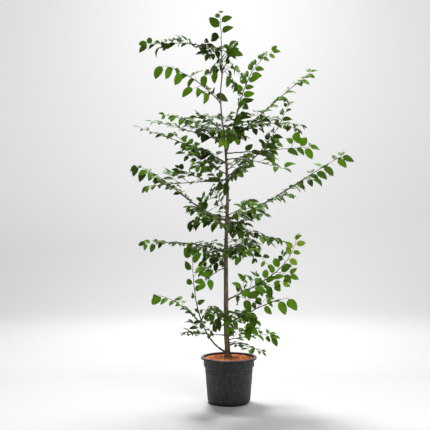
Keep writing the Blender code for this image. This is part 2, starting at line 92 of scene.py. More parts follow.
# Nursery pot: what the solids give, and the turned profile between
POT_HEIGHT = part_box("pot")[1].z
RIM_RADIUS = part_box("pot")[1].x
POT_WALL = 0.002
RIM_SKIRT = 0.0095
RIM_ROUND = 0.0016
COLLAR_TOP_RADIUS = 0.127
COLLAR_FOOT_RADIUS = 0.125
COLLAR_FOOT = 0.180
BODY_TOP_RADIUS = 0.119
BODY_TOP = 0.176
BODY_FOOT_RADIUS = 0.106
BODY_FOOT = 0.015
BASE_RADIUS = 0.097
RIB_HEIGHTS = (0.164, 0.152)
DRAIN_HOLES = 8
DRAIN_HOLE_RADIUS = 0.006
DRAIN_HOLE_SIDES = 20
DRAIN_RING_RADIUS = 0.078
CORNER_ROUND = 0.003
RIM_ROOT_ROUND = 0.0015
COLLAR_EDGE_ROUND = 0.002
FOOT_ROUND = 0.004
BASE_ROUND = 0.002
RIB_HALF = 0.002
RIB_POINTS = (1.0, 0.6, 0.25, -0.25, -0.6, -1.0)  # from a rib's upper edge to its lower one
RIM_HOLLOW = 0.0012
NECK_STEP = 0.001
NECK_RISE = 0.0006
SIDE_RINGS = (0.120, 0.085, 0.050)
UNEVEN = ((0.0005, 2, 0.6), (0.0002, 3, 2.1))  # how far in, how often round, turned by how much
RIM_DUST_AND_HIGHLIGHT = (0.0022, 0.0002)  # how far below the rim's top its lighter band, part dust and part painted highlight, begins and is full
FOOT_PAINTED_SHADE = (0.004, 0.024)  # heights between which the foot's painted shade, plastic darkened towards the floor, ends
POT_SHARP = 50.0

# Potting mix
FILL_TOP = 0.213
MOUND_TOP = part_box("substrate")[1].z
MOUND_RADIUS = 0.024
MOUND_FOOT_RADIUS = 0.075
MIX_GAP = 0.0008
MIX_EDGE_DROP = 0.004
LUMP_ROOM = 0.0015
LUMPS = ((130, 0.6), (330, 0.4), (900, 0.25))  # waves a metre, share of the relief
UPWARD = 0.3  # how far up a face has to point to hold chips
CHIP_CORNERS = 6
CHIP_FORMS = 5
FIBRE_FORMS = 4
FIBRE_RINGS = 7
SMALLEST_CHIP = 0.45  # length of the smallest chip, beside the largest

# Trunk: height, place to the right, place to the back, radius
TRUNK_STATIONS = (
    (0.2170, -0.004, 0.000, 0.0210),
    (0.2223, -0.004, 0.000, 0.0195),
    (0.230, -0.005, 0.000, 0.0160),
    (0.250, -0.006, 0.000, 0.0140),
    (0.360, -0.013, 0.002, 0.0122),
    (0.510, -0.014, 0.004, 0.0113),
    (0.760, -0.014, 0.001, 0.0096),
    (0.860, -0.0115, -0.001, 0.0088),
    (0.985, -0.0065, -0.002, 0.0080),
    (1.110, -0.009, 0.000, 0.0068),
    (1.235, -0.015, 0.003, 0.0058),
    (1.335, -0.024, 0.004, 0.0048),
    (1.435, -0.0365, 0.003, 0.0039),
    (1.535, -0.041, 0.001, 0.0033),
    (1.635, -0.034, -0.001, 0.0029),
    (1.735, -0.035, 0.000, 0.0025),
    (1.800, -0.037, 0.001, 0.0022),
)
TRUNK_FOOT = TRUNK_STATIONS[0][0]
TRUNK_TOP = TRUNK_STATIONS[-1][0]
TRUNK_STEPS = 200
TRUNK_SIDES = 36
BOUGH_SIDES = 14
BOUGH_RING_STEP = 0.004
STEM_SIDES = 10
TWIG_SIDES = 6

# Plainer tubes that stand for the wood where growth is tested
TRUNK_TEST_STEP = 0.02
TRUNK_TEST_SIDES = 8
LIMB_TEST_SIDES = 4
TWIG_TEST_SIDES = 3

# The rule that twigs and leaves grow by. A pair is the least and the most that a draw gives,
# TURN says how far it goes either way, and DRIFT is its standard deviation.
FIRST_SEED = 100
LEAF_SEED_STEP = 1000
LIMB_TIP_RADIUS = 0.0007
LIMB_TAPER = 0.9
LIMB_COLLAR = 0.55  # how much stouter a limb is where it leaves the bark
LIMB_COLLAR_LONG = 2.5  # how many of its radii this fades over
CURVE_STEPS = 40  # steps that a limb's length is measured by
LOOK_ALONG = 0.02  # share of a shoot that its direction is taken over
SPANS = 3  # straight spans from one node to the next
STEEP = 0.2  # sine of an angle from upright, or from level, that counts as none
NODE_STEP = 0.48  # from node to node, beside the length of a leaf
ZIGZAG = 0.0011
NODE_SWELLING = 0.20
TWIG_FOOT_RADIUS = 0.0013
TWIG_TIP_RADIUS = 0.00055
TWIG_STEM_SHARE = 0.62
TWIG_FIRST = 0.04
TWIG_LAST = 0.86
TWIG_ROOM = (0.1, 0.9)  # part of its stretch of the limb that a twig may leave from
TWIG_SHORTEST = 0.055
TWIG_GROWTH = 0.105
TWIG_LENGTHS = (0.75, 1.25)
TWIG_FACE = 0.6
TWIG_FACE_TURN = 22.0
TWIG_SPREAD_TURN = 10.0
TWIG_LIFT_TURN = 0.11
TWIG_DROOP = (0.0, 1.6)
TWIG_SWEEP = (-0.9, 0.6)
FINE_TWIG_SHORTEST = 0.028
FINE_TWIG_LENGTHS = (0.6, 1.0)
FINE_TWIG_FOOT = (0.25, 0.55)
FINE_TWIG_OUT = 0.6  # how far out on its limb a finer twig counts as standing
FORKING_TWIG = 0.085
FORKING_SHARE = 0.75
LEAF_TURN = 17.0
LEAF_SPREAD = 52.0
LEAF_SPREAD_TURN = 14.0
END_LEAF_SPREAD = 0.25
LEAF_HANG = (0.5, 1.4)
LEAF_HANG_DRIFT = 0.11
LEAF_LENGTHS = (0.78, 1.14)
YOUNG_FROM = 0.78  # share of a shoot where its young leaves begin
YOUNG_PART = 0.22  # share that they take up
YOUNG_SMALLER = 0.38
YOUNG_LIGHTER = 0.15
SPRAY_LIGHT_DRIFT = 0.10
LEAF_LIGHT_DRIFT = 0.07
FIRST_STEM_LEAF = 0.018
FIRST_TWIG_LEAF = 0.016
LEAF_TRIES = 5
LEAF_TRY_SMALLER = 0.93
BARE_NODES = 0.05
FOOT_LEAF = 0.20
TIP_LIGHT = 0.38
LEAF_CLEARANCE = 0.0005
BUD_LONG = 0.0052
BUD_SPREAD = 28.0
BUD_SIDES = 5
BUD_SHARES = (0.5, 0.16, 0.10)  # half its length, its radius in the middle and at its foot
BUD_SIZES = (0.75, 1.15)
BUD_WELD = 0.00001
AT_TIP = 0.99  # share of a shoot from which a node is its tip
SPACE_RADIUS = 0.165
RIM_CLEARANCE = 0.004
CROWD_CELL = 0.06

# A leaf of unit length: how round its base is, how far its tip is drawn out, and its stalk
LEAF_BASE_ROUND = 0.60
LEAF_TIP_DRAW = 0.96
LEAF_STALK = 0.12
LEAF_WELD = 0.0005
LEAF_SHARP = 75.0
UNDERSIDE_BLOOM = (0.09, 0.15, 0.035)

# The stage. The lens is worked out from the picture that it matches, in pixels.
SENSOR = 36
PICTURE_WIDTH = 430
LENS_IN_PIXELS = 660
CAMERA_PLACE = (-0.069, -3.3, 0.80)
CAMERA_TILT = 92.2
LIGHTS = (
    # name, place, what it is turned to, size, the setting with its power
    ("back_light", (-0.65, 2.05, 3.9), (0, -0.9, 0), (1.1, 1.1), "back"),
    ("front_light", (1.9, -3.3, 2.8), (0, -0.2, 0.7), (1.8, 1.8), "front"),
    ("wall_light", (0.1, 3.6, 5.2), (0, 7.0, 2.9), (2.0, 1.0), "wall"),
    ("side_light", (1.5, 2.0, 3.3), (0.6, 1.2, 0), (1.2, 1.2), "side"),
)


@dataclass
class Limb:
    """One limb of the crown, from its foot on the trunk to its tip."""

    name: str
    foot: float  # height on the trunk, or share of the length of the bough that carries it
    bearing: float
    reach: float  # how far out its tip is from its foot
    rise: float  # how far up its tip is from its foot
    leave: float  # slope at its foot, in degrees
    arrive: float  # slope at its tip
    stout: float = 0.0024  # radius at its foot
    bare: float = 0.0  # share of its length that is a bare bough
    leaf: float = 0.052  # length of its leaves
    tip_leaf: float = 1.0  # size of the leaves at its tip, beside those at its foot
    gap: float = 1.0  # distance between its nodes, beside what the size of its leaves asks for
    leafless: float = 0.0  # share of its length, from its foot, without leaves and twigs
    face: float = 8.0  # degrees that its sprays turn from lying flat to standing upright
    tip_face: float = 0.0  # how many degrees more at its tip
    hang: float = 0.06  # how far its leaves droop
    tip_hang: float = 0.0  # how much further at its tip
    lift: float = 0.09  # how far its twigs rise
    twigs: int = 4  # how many twigs leave it
    twig: float = 1.0  # length of its twigs, beside what the rule gives
    spread: float = 44.0  # degrees between it and its twigs
    crowding: float = 1.35  # how far its twigs crowd towards its foot, from 1 for not at all
    light: float = 0.45  # how light a green its leaves are, from 0 to 1
    carrier: str = ""  # the limb whose bough carries it, where that isn't the trunk
    seed: int = 0  # seed of its draws, where its place in the list doesn't give it


LIMBS = (
    Limb("left_1", 0.247, 192, 0.165, 0.470, 30, 88, stout=0.0046, bare=0.40, twigs=1, leaf=0.040,
         tip_leaf=1.7, gap=1.7, leafless=0.50, face=30, twig=0.6, light=0.56),
    Limb("left_2", 0.93, 176, 0.215, 0.140, 46, 10, twigs=2, leaf=0.034, tip_leaf=1.65, gap=1.1,
         tip_face=60, tip_hang=0.9, twig=0.5, light=0.52, carrier="left_1"),
    Limb("left_3", 0.330, 204, 0.205, 0.015, 6, -4, twigs=4, leaf=0.040, leafless=0.25, hang=-0.25,
         lift=0.45, twig=0.9, light=0.34),
    Limb("left_4", 0.400, 150, 0.120, 0.050, 30, 14, twigs=5, leaf=0.040, face=25, hang=0.90,
         lift=-0.90, twig=0.9, light=0.32),
    Limb("left_5", 0.660, 212, 0.110, -0.060, -10, -38, twigs=1, leaf=0.056, face=55, twig=0.5,
         light=0.76),
    Limb("left_6", 0.700, 140, 0.160, 0.060, 24, 14, twigs=7, leaf=0.048, face=35, hang=0.70,
         lift=-0.60, twig=0.65, spread=60, crowding=1.8, light=0.38),
    Limb("left_7", 0.740, 188, 0.385, 0.045, 24, -4, stout=0.0040, bare=0.24, twigs=7, leaf=0.038,
         tip_leaf=1.1, tip_face=50, twig=0.62, crowding=2.5, light=0.40),
    Limb("left_8", 0.875, 226, 0.165, 0.060, 22, 6, twigs=4, leaf=0.048, face=25, hang=0.3, lift=-0.2,
         light=0.38),
    Limb("left_9", 0.902, 172, 0.450, 0.278, 16, 20, stout=0.0048, bare=0.24, twigs=8, leaf=0.042,
         tip_leaf=1.5, gap=1.1, tip_face=40, hang=0.08, tip_hang=0.7, lift=0.10, twig=0.60,
         spread=50, crowding=1.6, light=0.46),
    Limb("left_10", 1.105, 162, 0.430, -0.022, -4, -4, stout=0.0034, twigs=5, leaf=0.046,
         tip_leaf=1.2, hang=-0.40, tip_hang=1.0, lift=0.60, twig=0.90, crowding=1.1, light=0.42),
    Limb("left_11", 1.135, 214, 0.170, 0.110, 18, 50, twigs=5, leaf=0.044, gap=1.15, face=50,
         hang=0.10, lift=0.04, twig=1.45, spread=24, light=0.58),
    Limb("left_12", 1.190, 184, 0.430, 0.172, 32, 20, stout=0.0036, bare=0.22, twigs=5, leaf=0.050,
         tip_leaf=0.7, face=30, hang=0.12, twig=0.8, crowding=2.0, light=0.44),
    Limb("left_13", 1.300, 158, 0.405, 0.125, 17, 12, stout=0.0034, bare=0.20, twigs=4, leaf=0.048,
         hang=-0.1, lift=0.28, twig=0.8, light=0.38),
    Limb("left_14", 1.330, 206, 0.315, 0.075, 25, 6, stout=0.0030, twigs=3, leaf=0.048, tip_face=50,
         twig=0.9, light=0.50),
    Limb("left_15", 1.495, 196, 0.290, 0.165, 46, 10, stout=0.0032, bare=0.30, twigs=5, leaf=0.058,
         tip_leaf=1.15, gap=1.1, hang=0.65, tip_hang=1.3, face=50, lift=-0.20, twig=0.5, spread=50,
         crowding=1.6, light=0.60),
    Limb("left_16", 1.755, 168, 0.385, 0.055, 24, -5, twigs=11, leaf=0.050, tip_leaf=1.1, gap=0.78,
         face=32, tip_face=40, hang=0.04, tip_hang=-0.4, lift=0.0, twig=0.52, spread=84,
         crowding=3.0, light=0.32),
    Limb("leader", 1.800, 180, 0.006, 0.150, 90, 88, stout=0.0022, twigs=0, leaf=0.076,
         tip_leaf=0.40, gap=0.72, face=20, hang=0.22, tip_hang=-0.3, light=0.72, seed=5),
    Limb("right_1", 0.293, 328, 0.180, -0.030, 2, -20, twigs=2, leaf=0.034, twig=0.5, light=0.42),
    Limb("right_2", 0.306, 22, 0.225, 0.016, 10, 2, twigs=3, leaf=0.038, tip_leaf=1.25, tip_face=60,
         hang=-0.1, twig=0.7, light=0.46),
    Limb("right_3", 0.392, 342, 0.300, 0.130, 24, 10, stout=0.0042, bare=0.30, twigs=2, leaf=0.062,
         tip_leaf=1.05, gap=1.3, leafless=0.10, hang=0.20, tip_hang=1.3, face=50, twig=0.6,
         light=0.60),
    Limb("right_4", 0.505, 12, 0.355, 0.295, 24, 80, stout=0.0040, bare=0.28, twigs=8, leaf=0.056,
         gap=0.85, face=70, hang=0.05, lift=-0.12, twig=0.62, crowding=1.6, light=0.58),
    Limb("right_5", 0.760, 318, 0.165, 0.005, 14, -6, twigs=4, leaf=0.046, face=20, hang=0.20,
         lift=-0.10, light=0.42),
    Limb("right_6", 0.842, 26, 0.300, -0.045, 10, -12, stout=0.0028, twigs=4, leaf=0.050, light=0.40),
    Limb("right_7", 0.872, 52, 0.245, 0.047, 16, 8, stout=0.0026, twigs=4, leaf=0.048, light=0.38),
    Limb("right_8", 0.886, 338, 0.205, -0.205, -26, -52, stout=0.0026, twigs=2, leaf=0.038, face=35,
         gap=1.3, light=0.46),
    Limb("right_9", 0.906, 5, 0.575, 0.320, 18, 28, stout=0.0050, bare=0.26, twigs=8, leaf=0.044,
         tip_leaf=1.8, tip_face=60, tip_hang=0.7, lift=-0.15, twig=0.6, crowding=1.3, light=0.46),
    Limb("right_10", 0.925, 308, 0.215, 0.030, 18, 0, twigs=2, leaf=0.056, gap=1.2, face=50,
         twig=0.7, light=0.66),
    Limb("right_11", 1.125, 350, 0.298, 0.335, 22, 68, stout=0.0036, bare=0.36, twigs=2, leaf=0.050,
         leafless=0.42, face=50, twig=0.6, light=0.54),
    Limb("right_12", 1.205, 325, 0.320, -0.065, 6, -14, stout=0.0028, twigs=2, leaf=0.056,
         tip_leaf=1.1, gap=1.35, face=30, hang=-0.15, lift=0.25, twig=0.5, light=0.42),
    Limb("right_13", 1.238, 8, 0.425, 0.040, 4, 5, stout=0.0032, twigs=3, leaf=0.062, tip_leaf=1.05,
         gap=0.80, leafless=0.22, face=64, hang=-0.45, tip_hang=0.3, lift=0.4, twig=0.40,
         crowding=1.1, light=0.58),
    Limb("right_14", 1.250, 342, 0.235, 0.480, 68, 24, stout=0.0040, bare=0.36, twigs=4, leaf=0.060,
         tip_leaf=0.8, gap=0.64, leafless=0.12, face=70, hang=0.15, twig=0.4, light=0.54),
    Limb("right_15", 1.275, 22, 0.488, 0.420, 42, 38, stout=0.0036, bare=0.24, twigs=5, leaf=0.056,
         gap=1.1, tip_face=30, lift=-0.15, twig=1.1, light=0.52),
    Limb("right_16", 1.322, 334, 0.390, 0.030, 26, -12, stout=0.0030, twigs=5, leaf=0.046, face=4,
         twig=0.9, light=0.46),
    Limb("right_17", 1.705, 312, 0.060, 0.035, 32, 10, stout=0.0018, twigs=3, leaf=0.066, gap=0.5,
         face=70, hang=0.1, lift=0.1, twig=0.4, light=0.48),
    Limb("front_1", 0.450, 284, 0.210, -0.020, 12, -12, twigs=4, leaf=0.048, face=20, hang=0.15,
         lift=-0.1, light=0.44),
    Limb("front_2", 0.855, 264, 0.270, 0.020, 12, -4, stout=0.0026, twigs=5, leaf=0.046, face=20,
         light=0.44),
    Limb("front_3", 1.090, 280, 0.290, 0.020, 20, -6, stout=0.0026, twigs=3, leaf=0.064, face=45,
         hang=0.15, lift=0.25, twig=0.5, spread=60, light=0.42),
    Limb("front_4", 1.322, 262, 0.260, -0.010, 16, -14, twigs=6, leaf=0.048, face=20, hang=0.25,
         lift=-0.15, light=0.40),
    Limb("back_1", 0.420, 104, 0.300, 0.025, 10, -4, stout=0.0028, twigs=1, leaf=0.038, gap=1.6,
         hang=0.90, lift=-0.80, twig=0.7, crowding=1.9, light=0.34),
    Limb("back_2", 0.700, 76, 0.345, 0.105, 24, 8, stout=0.0028, twigs=5, leaf=0.050, light=0.34),
    Limb("back_3", 0.940, 102, 0.385, 0.150, 26, 14, stout=0.0030, twigs=4, leaf=0.056, face=60,
         light=0.36),
    Limb("back_4", 1.150, 68, 0.375, 0.120, 24, 10, stout=0.0028, twigs=3, leaf=0.042, gap=1.3,
         twig=0.5, crowding=2.4, light=0.36),
    Limb("back_5", 1.345, 112, 0.320, 0.110, 30, 12, stout=0.0026, twigs=5, leaf=0.050, hang=-0.1,
         lift=0.35, crowding=1.8, light=0.38),
    Limb("back_6", 1.640, 70, 0.165, 0.085, 32, 20, stout=0.0022, twigs=5, leaf=0.064, gap=0.8,
         face=65, hang=0.5, lift=-0.35, twig=0.9, light=0.46),
)

TINTS = ("deep", "shade", "green", "bright", "young")
TINT_LIMITS = (0.28, 0.44, 0.60, 0.86)
CROWN_SIDES = ("left", "right", "front", "back")


class PotSettings(bpy.types.PropertyGroup):
    """The nursery pot."""

    plastic: bpy.props.FloatVectorProperty(
        name="Plastic", description="Colour of the pot's plastic", subtype="COLOR",
        default=(0.019, 0.019, 0.020), min=0, max=1)
    dust: bpy.props.FloatVectorProperty(
        name="Dust", description="Colour of the dust and the scuffs on it", subtype="COLOR",
        default=(0.085, 0.084, 0.082), min=0, max=1)
    sides: bpy.props.IntProperty(name="Sides", description="Faces round the pot", default=128, min=24)
    rib: bpy.props.FloatProperty(
        name="Rib", description="How far the two ribs stand out", unit="LENGTH", default=0.0008, min=0)


class MixSettings(bpy.types.PropertyGroup):
    """The potting mix and the chips and fibres on it."""

    soil: bpy.props.FloatVectorProperty(
        name="Fines", description="Colour of the fine mix under the chips", subtype="COLOR",
        default=(0.72, 0.24, 0.09), min=0, max=1)
    rust: bpy.props.FloatVectorProperty(
        name="Rust chips", description="Colour of most of the chips", subtype="COLOR",
        default=(0.98, 0.36, 0.13), min=0, max=1)
    tan: bpy.props.FloatVectorProperty(
        name="Tan chips", description="Colour of the palest chips", subtype="COLOR",
        default=(1.0, 0.55, 0.25), min=0, max=1)
    dark: bpy.props.FloatVectorProperty(
        name="Dark chips", description="Colour of the darkest chips", subtype="COLOR",
        default=(0.33, 0.075, 0.030), min=0, max=1)
    # Painted shade: near-black chips strewn round the trunk's foot stand in for the shade that falls there.
    damp: bpy.props.FloatVectorProperty(
        name="Damp chips", description="Colour of the damp chips round the trunk's foot", subtype="COLOR",
        default=(0.13, 0.034, 0.018), min=0, max=1)
    relief: bpy.props.FloatProperty(
        name="Relief", description="Height of the lumps in the mix", unit="LENGTH", default=0.0034, min=0)
    seed: bpy.props.IntProperty(name="Seed", description="Where the chips lie", default=7)


class BarkSettings(bpy.types.PropertyGroup):
    """The bark of trunk, boughs and twigs."""

    pale: bpy.props.FloatVectorProperty(
        name="Pale bark", description="Colour of the trunk's raised bark", subtype="COLOR",
        default=(0.33, 0.245, 0.165), min=0, max=1)
    dark: bpy.props.FloatVectorProperty(
        name="Dark bark", description="Colour in the trunk's furrows", subtype="COLOR",
        default=(0.105, 0.078, 0.056), min=0, max=1)
    twig: bpy.props.FloatVectorProperty(
        name="Twigs", description="Colour of the twigs", subtype="COLOR",
        default=(0.10, 0.072, 0.056), min=0, max=1)
    bud: bpy.props.FloatVectorProperty(
        name="Buds", description="Colour of the buds' scales", subtype="COLOR",
        default=(0.16, 0.085, 0.035), min=0, max=1)
    ring_step: bpy.props.FloatProperty(
        name="Ring step", description="Distance between the rings of the trunk's mesh",
        unit="LENGTH", default=0.0028, min=0.001)
    relief: bpy.props.FloatProperty(
        name="Relief", description="Height of the ridges in the trunk's bark", unit="LENGTH",
        default=0.0005, min=0)


class LeafSettings(bpy.types.PropertyGroup):
    """The leaves."""

    deep: bpy.props.FloatVectorProperty(
        name="Deep green", description="Colour of the oldest leaves", subtype="COLOR",
        default=(0.041, 0.075, 0.007), min=0, max=1)
    shade: bpy.props.FloatVectorProperty(
        name="Shade green", description="Colour of the leaves inside the crown", subtype="COLOR",
        default=(0.052, 0.106, 0.007), min=0, max=1)
    green: bpy.props.FloatVectorProperty(
        name="Green", description="Colour of most leaves", subtype="COLOR",
        default=(0.080, 0.180, 0.008), min=0, max=1)
    bright: bpy.props.FloatVectorProperty(
        name="Bright green", description="Colour of the lighter leaves", subtype="COLOR",
        default=(0.125, 0.290, 0.008), min=0, max=1)
    young: bpy.props.FloatVectorProperty(
        name="Young leaves", description="Colour of the newest leaves", subtype="COLOR",
        default=(0.24, 0.40, 0.018), min=0, max=1)
    width: bpy.props.FloatProperty(
        name="Width", description="Width of a leaf beside its length", default=0.57, min=0.3, max=1)
    veins: bpy.props.IntProperty(
        name="Side veins", description="Pleats on each half of a leaf", default=6, min=3, max=12)
    vary: bpy.props.FloatProperty(
        name="Variation", description="How far the leaves' sizes differ from the rule", default=0.05, min=0)
    seed: bpy.props.IntProperty(name="Seed", description="How the leaves' sizes differ", default=3)


class StageSettings(bpy.types.PropertyGroup):
    """The floor, the lights and the camera."""

    back: bpy.props.FloatProperty(
        name="Back light", description="Power of the light behind the plant, which casts its shadow",
        unit="POWER", default=260.0, min=0)
    front: bpy.props.FloatProperty(
        name="Front light", description="Power of the large light in front", unit="POWER",
        default=80.0, min=0)
    wall: bpy.props.FloatProperty(
        name="Wall light", description="Power of the light on the backdrop", unit="POWER",
        default=108.0, min=0)
    side: bpy.props.FloatProperty(
        name="Side light", description="Power of the light at the right", unit="POWER", default=62.0,
        min=0)
    fill: bpy.props.FloatProperty(
        name="Fill", description="Strength of the even light from all round", default=0.165, min=0)
    focal_length: bpy.props.FloatProperty(
        name="Focal length", description="The camera's lens on a 36 mm sensor, in millimetres",
        default=SENSOR * LENS_IN_PIXELS / PICTURE_WIDTH, min=10)


def add_node(tree, kind, inputs=None, **values):
    """A node of this kind, with its settings and its inputs set or linked by name."""
    node = tree.nodes.new(kind)
    for name, value in values.items():
        setattr(node, name, value)
    for name, value in (inputs or {}).items():
        socket = node.inputs[name]
        if isinstance(value, bpy.types.NodeSocket):
            tree.links.new(value, socket)
        else:
            socket.default_value = value
    return node


def plain_material(name, colour, roughness, specular=0.5):
    """A material of one colour, and its node tree and shader."""
    made = bpy.data.materials.new(name)
    made.use_nodes = True
    tree = made.node_tree
    shader = tree.nodes["Principled BSDF"]
    shader.inputs["Base Color"].default_value = (*colour, 1)
    shader.inputs["Roughness"].default_value = roughness
    shader.inputs["Specular IOR Level"].default_value = specular
    made.diffuse_color = (*colour, 1)
    return made, tree, shader


def noise_node(tree, scale, stretch=(1, 1, 1), detail=4.0, roughness=0.55):
    """Noise over the piece's own coordinates, with this many waves a metre along each axis."""
    place = add_node(tree, "ShaderNodeTexCoord")
    mapping = add_node(tree, "ShaderNodeMapping", {"Vector": place.outputs["Object"], "Scale": stretch})
    return add_node(tree, "ShaderNodeTexNoise", {
        "Vector": mapping.outputs[0], "Scale": scale, "Detail": detail, "Roughness": roughness,
    }).outputs[0]


def place_along(tree, axis):
    """How far along this axis a point of the piece lies."""
    place = add_node(tree, "ShaderNodeTexCoord")
    return add_node(tree, "ShaderNodeSeparateXYZ", {0: place.outputs["Object"]}).outputs[axis]


def spread(tree, value, low, high, start=0.0, end=1.0):
    """The value stretched so that low becomes start and high becomes end."""
    return add_node(tree, "ShaderNodeMapRange", {
        "Value": value, "From Min": low, "From Max": high, "To Min": start, "To Max": end,
    }).outputs[0]


def math_node(tree, operation, first, second):
    """What this operation makes of two numbers or sockets."""
    return add_node(tree, "ShaderNodeMath", {0: first, 1: second}, operation=operation).outputs[0]


def shaded(colour, factor):
    """The colour made darker or lighter by this factor."""
    return tuple(min(1.0, factor * part) for part in colour)


def blend(tree, factor, first, second):
    """A colour between two, each a colour or a socket."""
    node = add_node(tree, "ShaderNodeMix", data_type="RGBA")
    for number, value in ((0, factor), (6, first), (7, second)):
        if isinstance(value, bpy.types.NodeSocket):
            tree.links.new(value, node.inputs[number])
        else:
            node.inputs[number].default_value = value if number == 0 else (*value, 1)
    return node.outputs[2]


def paint(tree, shader, colour):
    """Gives the shader the colour that a socket holds."""
    tree.links.new(colour, shader.inputs["Base Color"])


def bump(tree, shader, height, distance, strength=1.0):
    """Fine relief that the shading alone shows."""
    node = add_node(tree, "ShaderNodeBump", {
        "Height": height, "Distance": distance, "Strength": strength,
    })
    tree.links.new(node.outputs[0], shader.inputs["Normal"])


def new_object(name, points, faces):
    """An object with this mesh, shaded smooth, at the origin."""
    mesh = bpy.data.meshes.new(name)
    mesh.from_pydata(points, [], faces)
    mesh.update()
    mesh.shade_smooth()
    obj = bpy.data.objects.new(name, mesh)
    bpy.context.scene.collection.objects.link(obj)
    return obj


def keep(obj, nodes):
    """Makes a finished object a piece of the plant, in place of these solids."""
    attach(obj, BODY)
    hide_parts(*nodes)


def solids_named(start):
    """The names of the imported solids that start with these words."""
    return sorted(name for name in frame["nodes"] if name.startswith(start))


def turned(name, profile, sides, wobble=None):
    """A closed solid of revolution about Z, from a profile that starts and ends on the axis."""
    rings = profile[1:-1]
    points = [Vector((0, 0, profile[0][1]))]
    for radius, height in rings:
        for k in range(sides):
            turn = math.tau * k / sides
            point = Vector((radius * math.cos(turn), radius * math.sin(turn), height))
            points.append(wobble(point) if wobble else point)
    points.append(Vector((0, 0, profile[-1][1])))
    last = len(points) - 1
    faces = []
    for k in range(sides):
        after = (k + 1) % sides
        faces.append((0, 1 + after, 1 + k))
        foot = 1 + (len(rings) - 1) * sides
        faces.append((last, foot + k, foot + after))
        for i in range(len(rings) - 1):
            a = 1 + i * sides
            faces.append((a + k, a + after, a + sides + after, a + sides + k))
    obj = new_object(name, points, faces)
    outward_faces(obj)
    return obj


def outward_faces(obj):
    """Turns a closed mesh's faces outwards."""
    work = bmesh.new()
    work.from_mesh(obj.data)
    bmesh.ops.recalc_face_normals(work, faces=work.faces)
    work.to_mesh(obj.data)
    work.free()


def arc(centre, radius, start, end, steps):
    """Points of a round corner in a profile, from one angle to another in degrees."""
    angles = [math.radians(start + (end - start) * i / steps) for i in range(steps + 1)]
    return [(centre[0] + radius * math.cos(a), centre[1] + radius * math.sin(a)) for a in angles]


def body_radius(height):
    """The radius of the pot's side below its collar."""
    flare = BODY_TOP_RADIUS - BODY_FOOT_RADIUS
    return BODY_FOOT_RADIUS + flare * (height - BODY_FOOT) / (BODY_TOP - BODY_FOOT)


def pot_profile(rib):
    """From the middle of the floor's upper side, up the inside, over the rim and down the outside."""
    lip = POT_WALL / 2
    skirt_foot = POT_HEIGHT - RIM_SKIRT
    rim_root = POT_HEIGHT - POT_WALL
    neck = POT_HEIGHT - CORNER_ROUND
    floor_edge = BASE_RADIUS - POT_WALL - CORNER_ROUND
    profile = [(0, POT_WALL), (floor_edge, POT_WALL)]
    profile += arc((floor_edge, POT_WALL + CORNER_ROUND), CORNER_ROUND, -90, -20, 3)
    profile += [
        (BODY_FOOT_RADIUS - POT_WALL, BODY_FOOT),
        (BODY_TOP_RADIUS - POT_WALL, BODY_TOP),
        (COLLAR_FOOT_RADIUS - POT_WALL, COLLAR_FOOT),
        (COLLAR_TOP_RADIUS - POT_WALL, neck),
    ]
    profile += arc((COLLAR_TOP_RADIUS - POT_WALL + CORNER_ROUND, neck), CORNER_ROUND, 180, 90, 4)
    profile += arc((RIM_RADIUS - RIM_ROUND, POT_HEIGHT - RIM_ROUND), RIM_ROUND, 90, 0, 5)
    profile += arc((RIM_RADIUS - lip, skirt_foot + lip), lip, 0, -180, 5)
    profile += [(RIM_RADIUS - POT_WALL, rim_root - RIM_HOLLOW)]
    under_rim = (COLLAR_TOP_RADIUS + RIM_ROOT_ROUND, rim_root - RIM_ROOT_ROUND)
    profile += arc(under_rim, RIM_ROOT_ROUND, 90, 180, 3)
    profile += [(COLLAR_FOOT_RADIUS, COLLAR_FOOT + COLLAR_EDGE_ROUND)]
    collar_edge = (COLLAR_FOOT_RADIUS - COLLAR_EDGE_ROUND, COLLAR_FOOT + COLLAR_EDGE_ROUND / 2)
    profile += arc(collar_edge, COLLAR_EDGE_ROUND, 0, -60, 3)
    profile += [(BODY_TOP_RADIUS + NECK_STEP, BODY_TOP + NECK_RISE)]
    profile += [(BODY_TOP_RADIUS, BODY_TOP - NECK_STEP)]
    for height in RIB_HEIGHTS:
        for step in RIB_POINTS:
            stand = rib * math.cos(step * math.pi / 2)
            z = height + RIB_HALF * step
            profile.append((body_radius(z) + stand, z))
    profile += [(body_radius(z), z) for z in SIDE_RINGS]
    profile += arc((BODY_FOOT_RADIUS - FOOT_ROUND, BODY_FOOT + FOOT_ROUND / 4), FOOT_ROUND, 8, -40, 4)
    profile += arc((BASE_RADIUS - BASE_ROUND, BASE_ROUND), BASE_ROUND, -30, -90, 3)
    profile += [(0, 0)]
    return profile


def out_of_round(point):
    """The pot is a little out of round towards its rim, as thin plastic is."""
    turn = math.atan2(point.y, point.x)
    share = point.z / POT_HEIGHT
    radius = math.hypot(point.x, point.y)
    change = sum(far * share * (math.cos(often * turn + start) - 1) for far, often, start in UNEVEN)
    stretch = (radius + change) / radius
    return Vector((point.x * stretch, point.y * stretch, point.z))


def cut_drain_holes(pot):
    """Cuts the ring of holes in the floor."""
    work = bmesh.new()
    for i in range(DRAIN_HOLES):
        bearing = math.tau * (i + 0.5) / DRAIN_HOLES
        place = Vector((math.cos(bearing), math.sin(bearing), 0)) * DRAIN_RING_RADIUS
        bmesh.ops.create_cone(work, cap_ends=True, segments=DRAIN_HOLE_SIDES, radius1=DRAIN_HOLE_RADIUS,
                              radius2=DRAIN_HOLE_RADIUS, depth=POT_WALL * 3,
                              matrix=Matrix.Translation(place))
    mesh = bpy.data.meshes.new("drain_cutters")
    work.to_mesh(mesh)
    work.free()
    cutter = bpy.data.objects.new("drain_cutters", mesh)
    bpy.context.scene.collection.objects.link(cutter)
    holes = pot.modifiers.new("drain holes", "BOOLEAN")
    holes.operation = "DIFFERENCE"
    holes.object = cutter
    holes.solver = "EXACT"
    made_plain(pot)
    bpy.data.objects.remove(cutter, do_unlink=True)


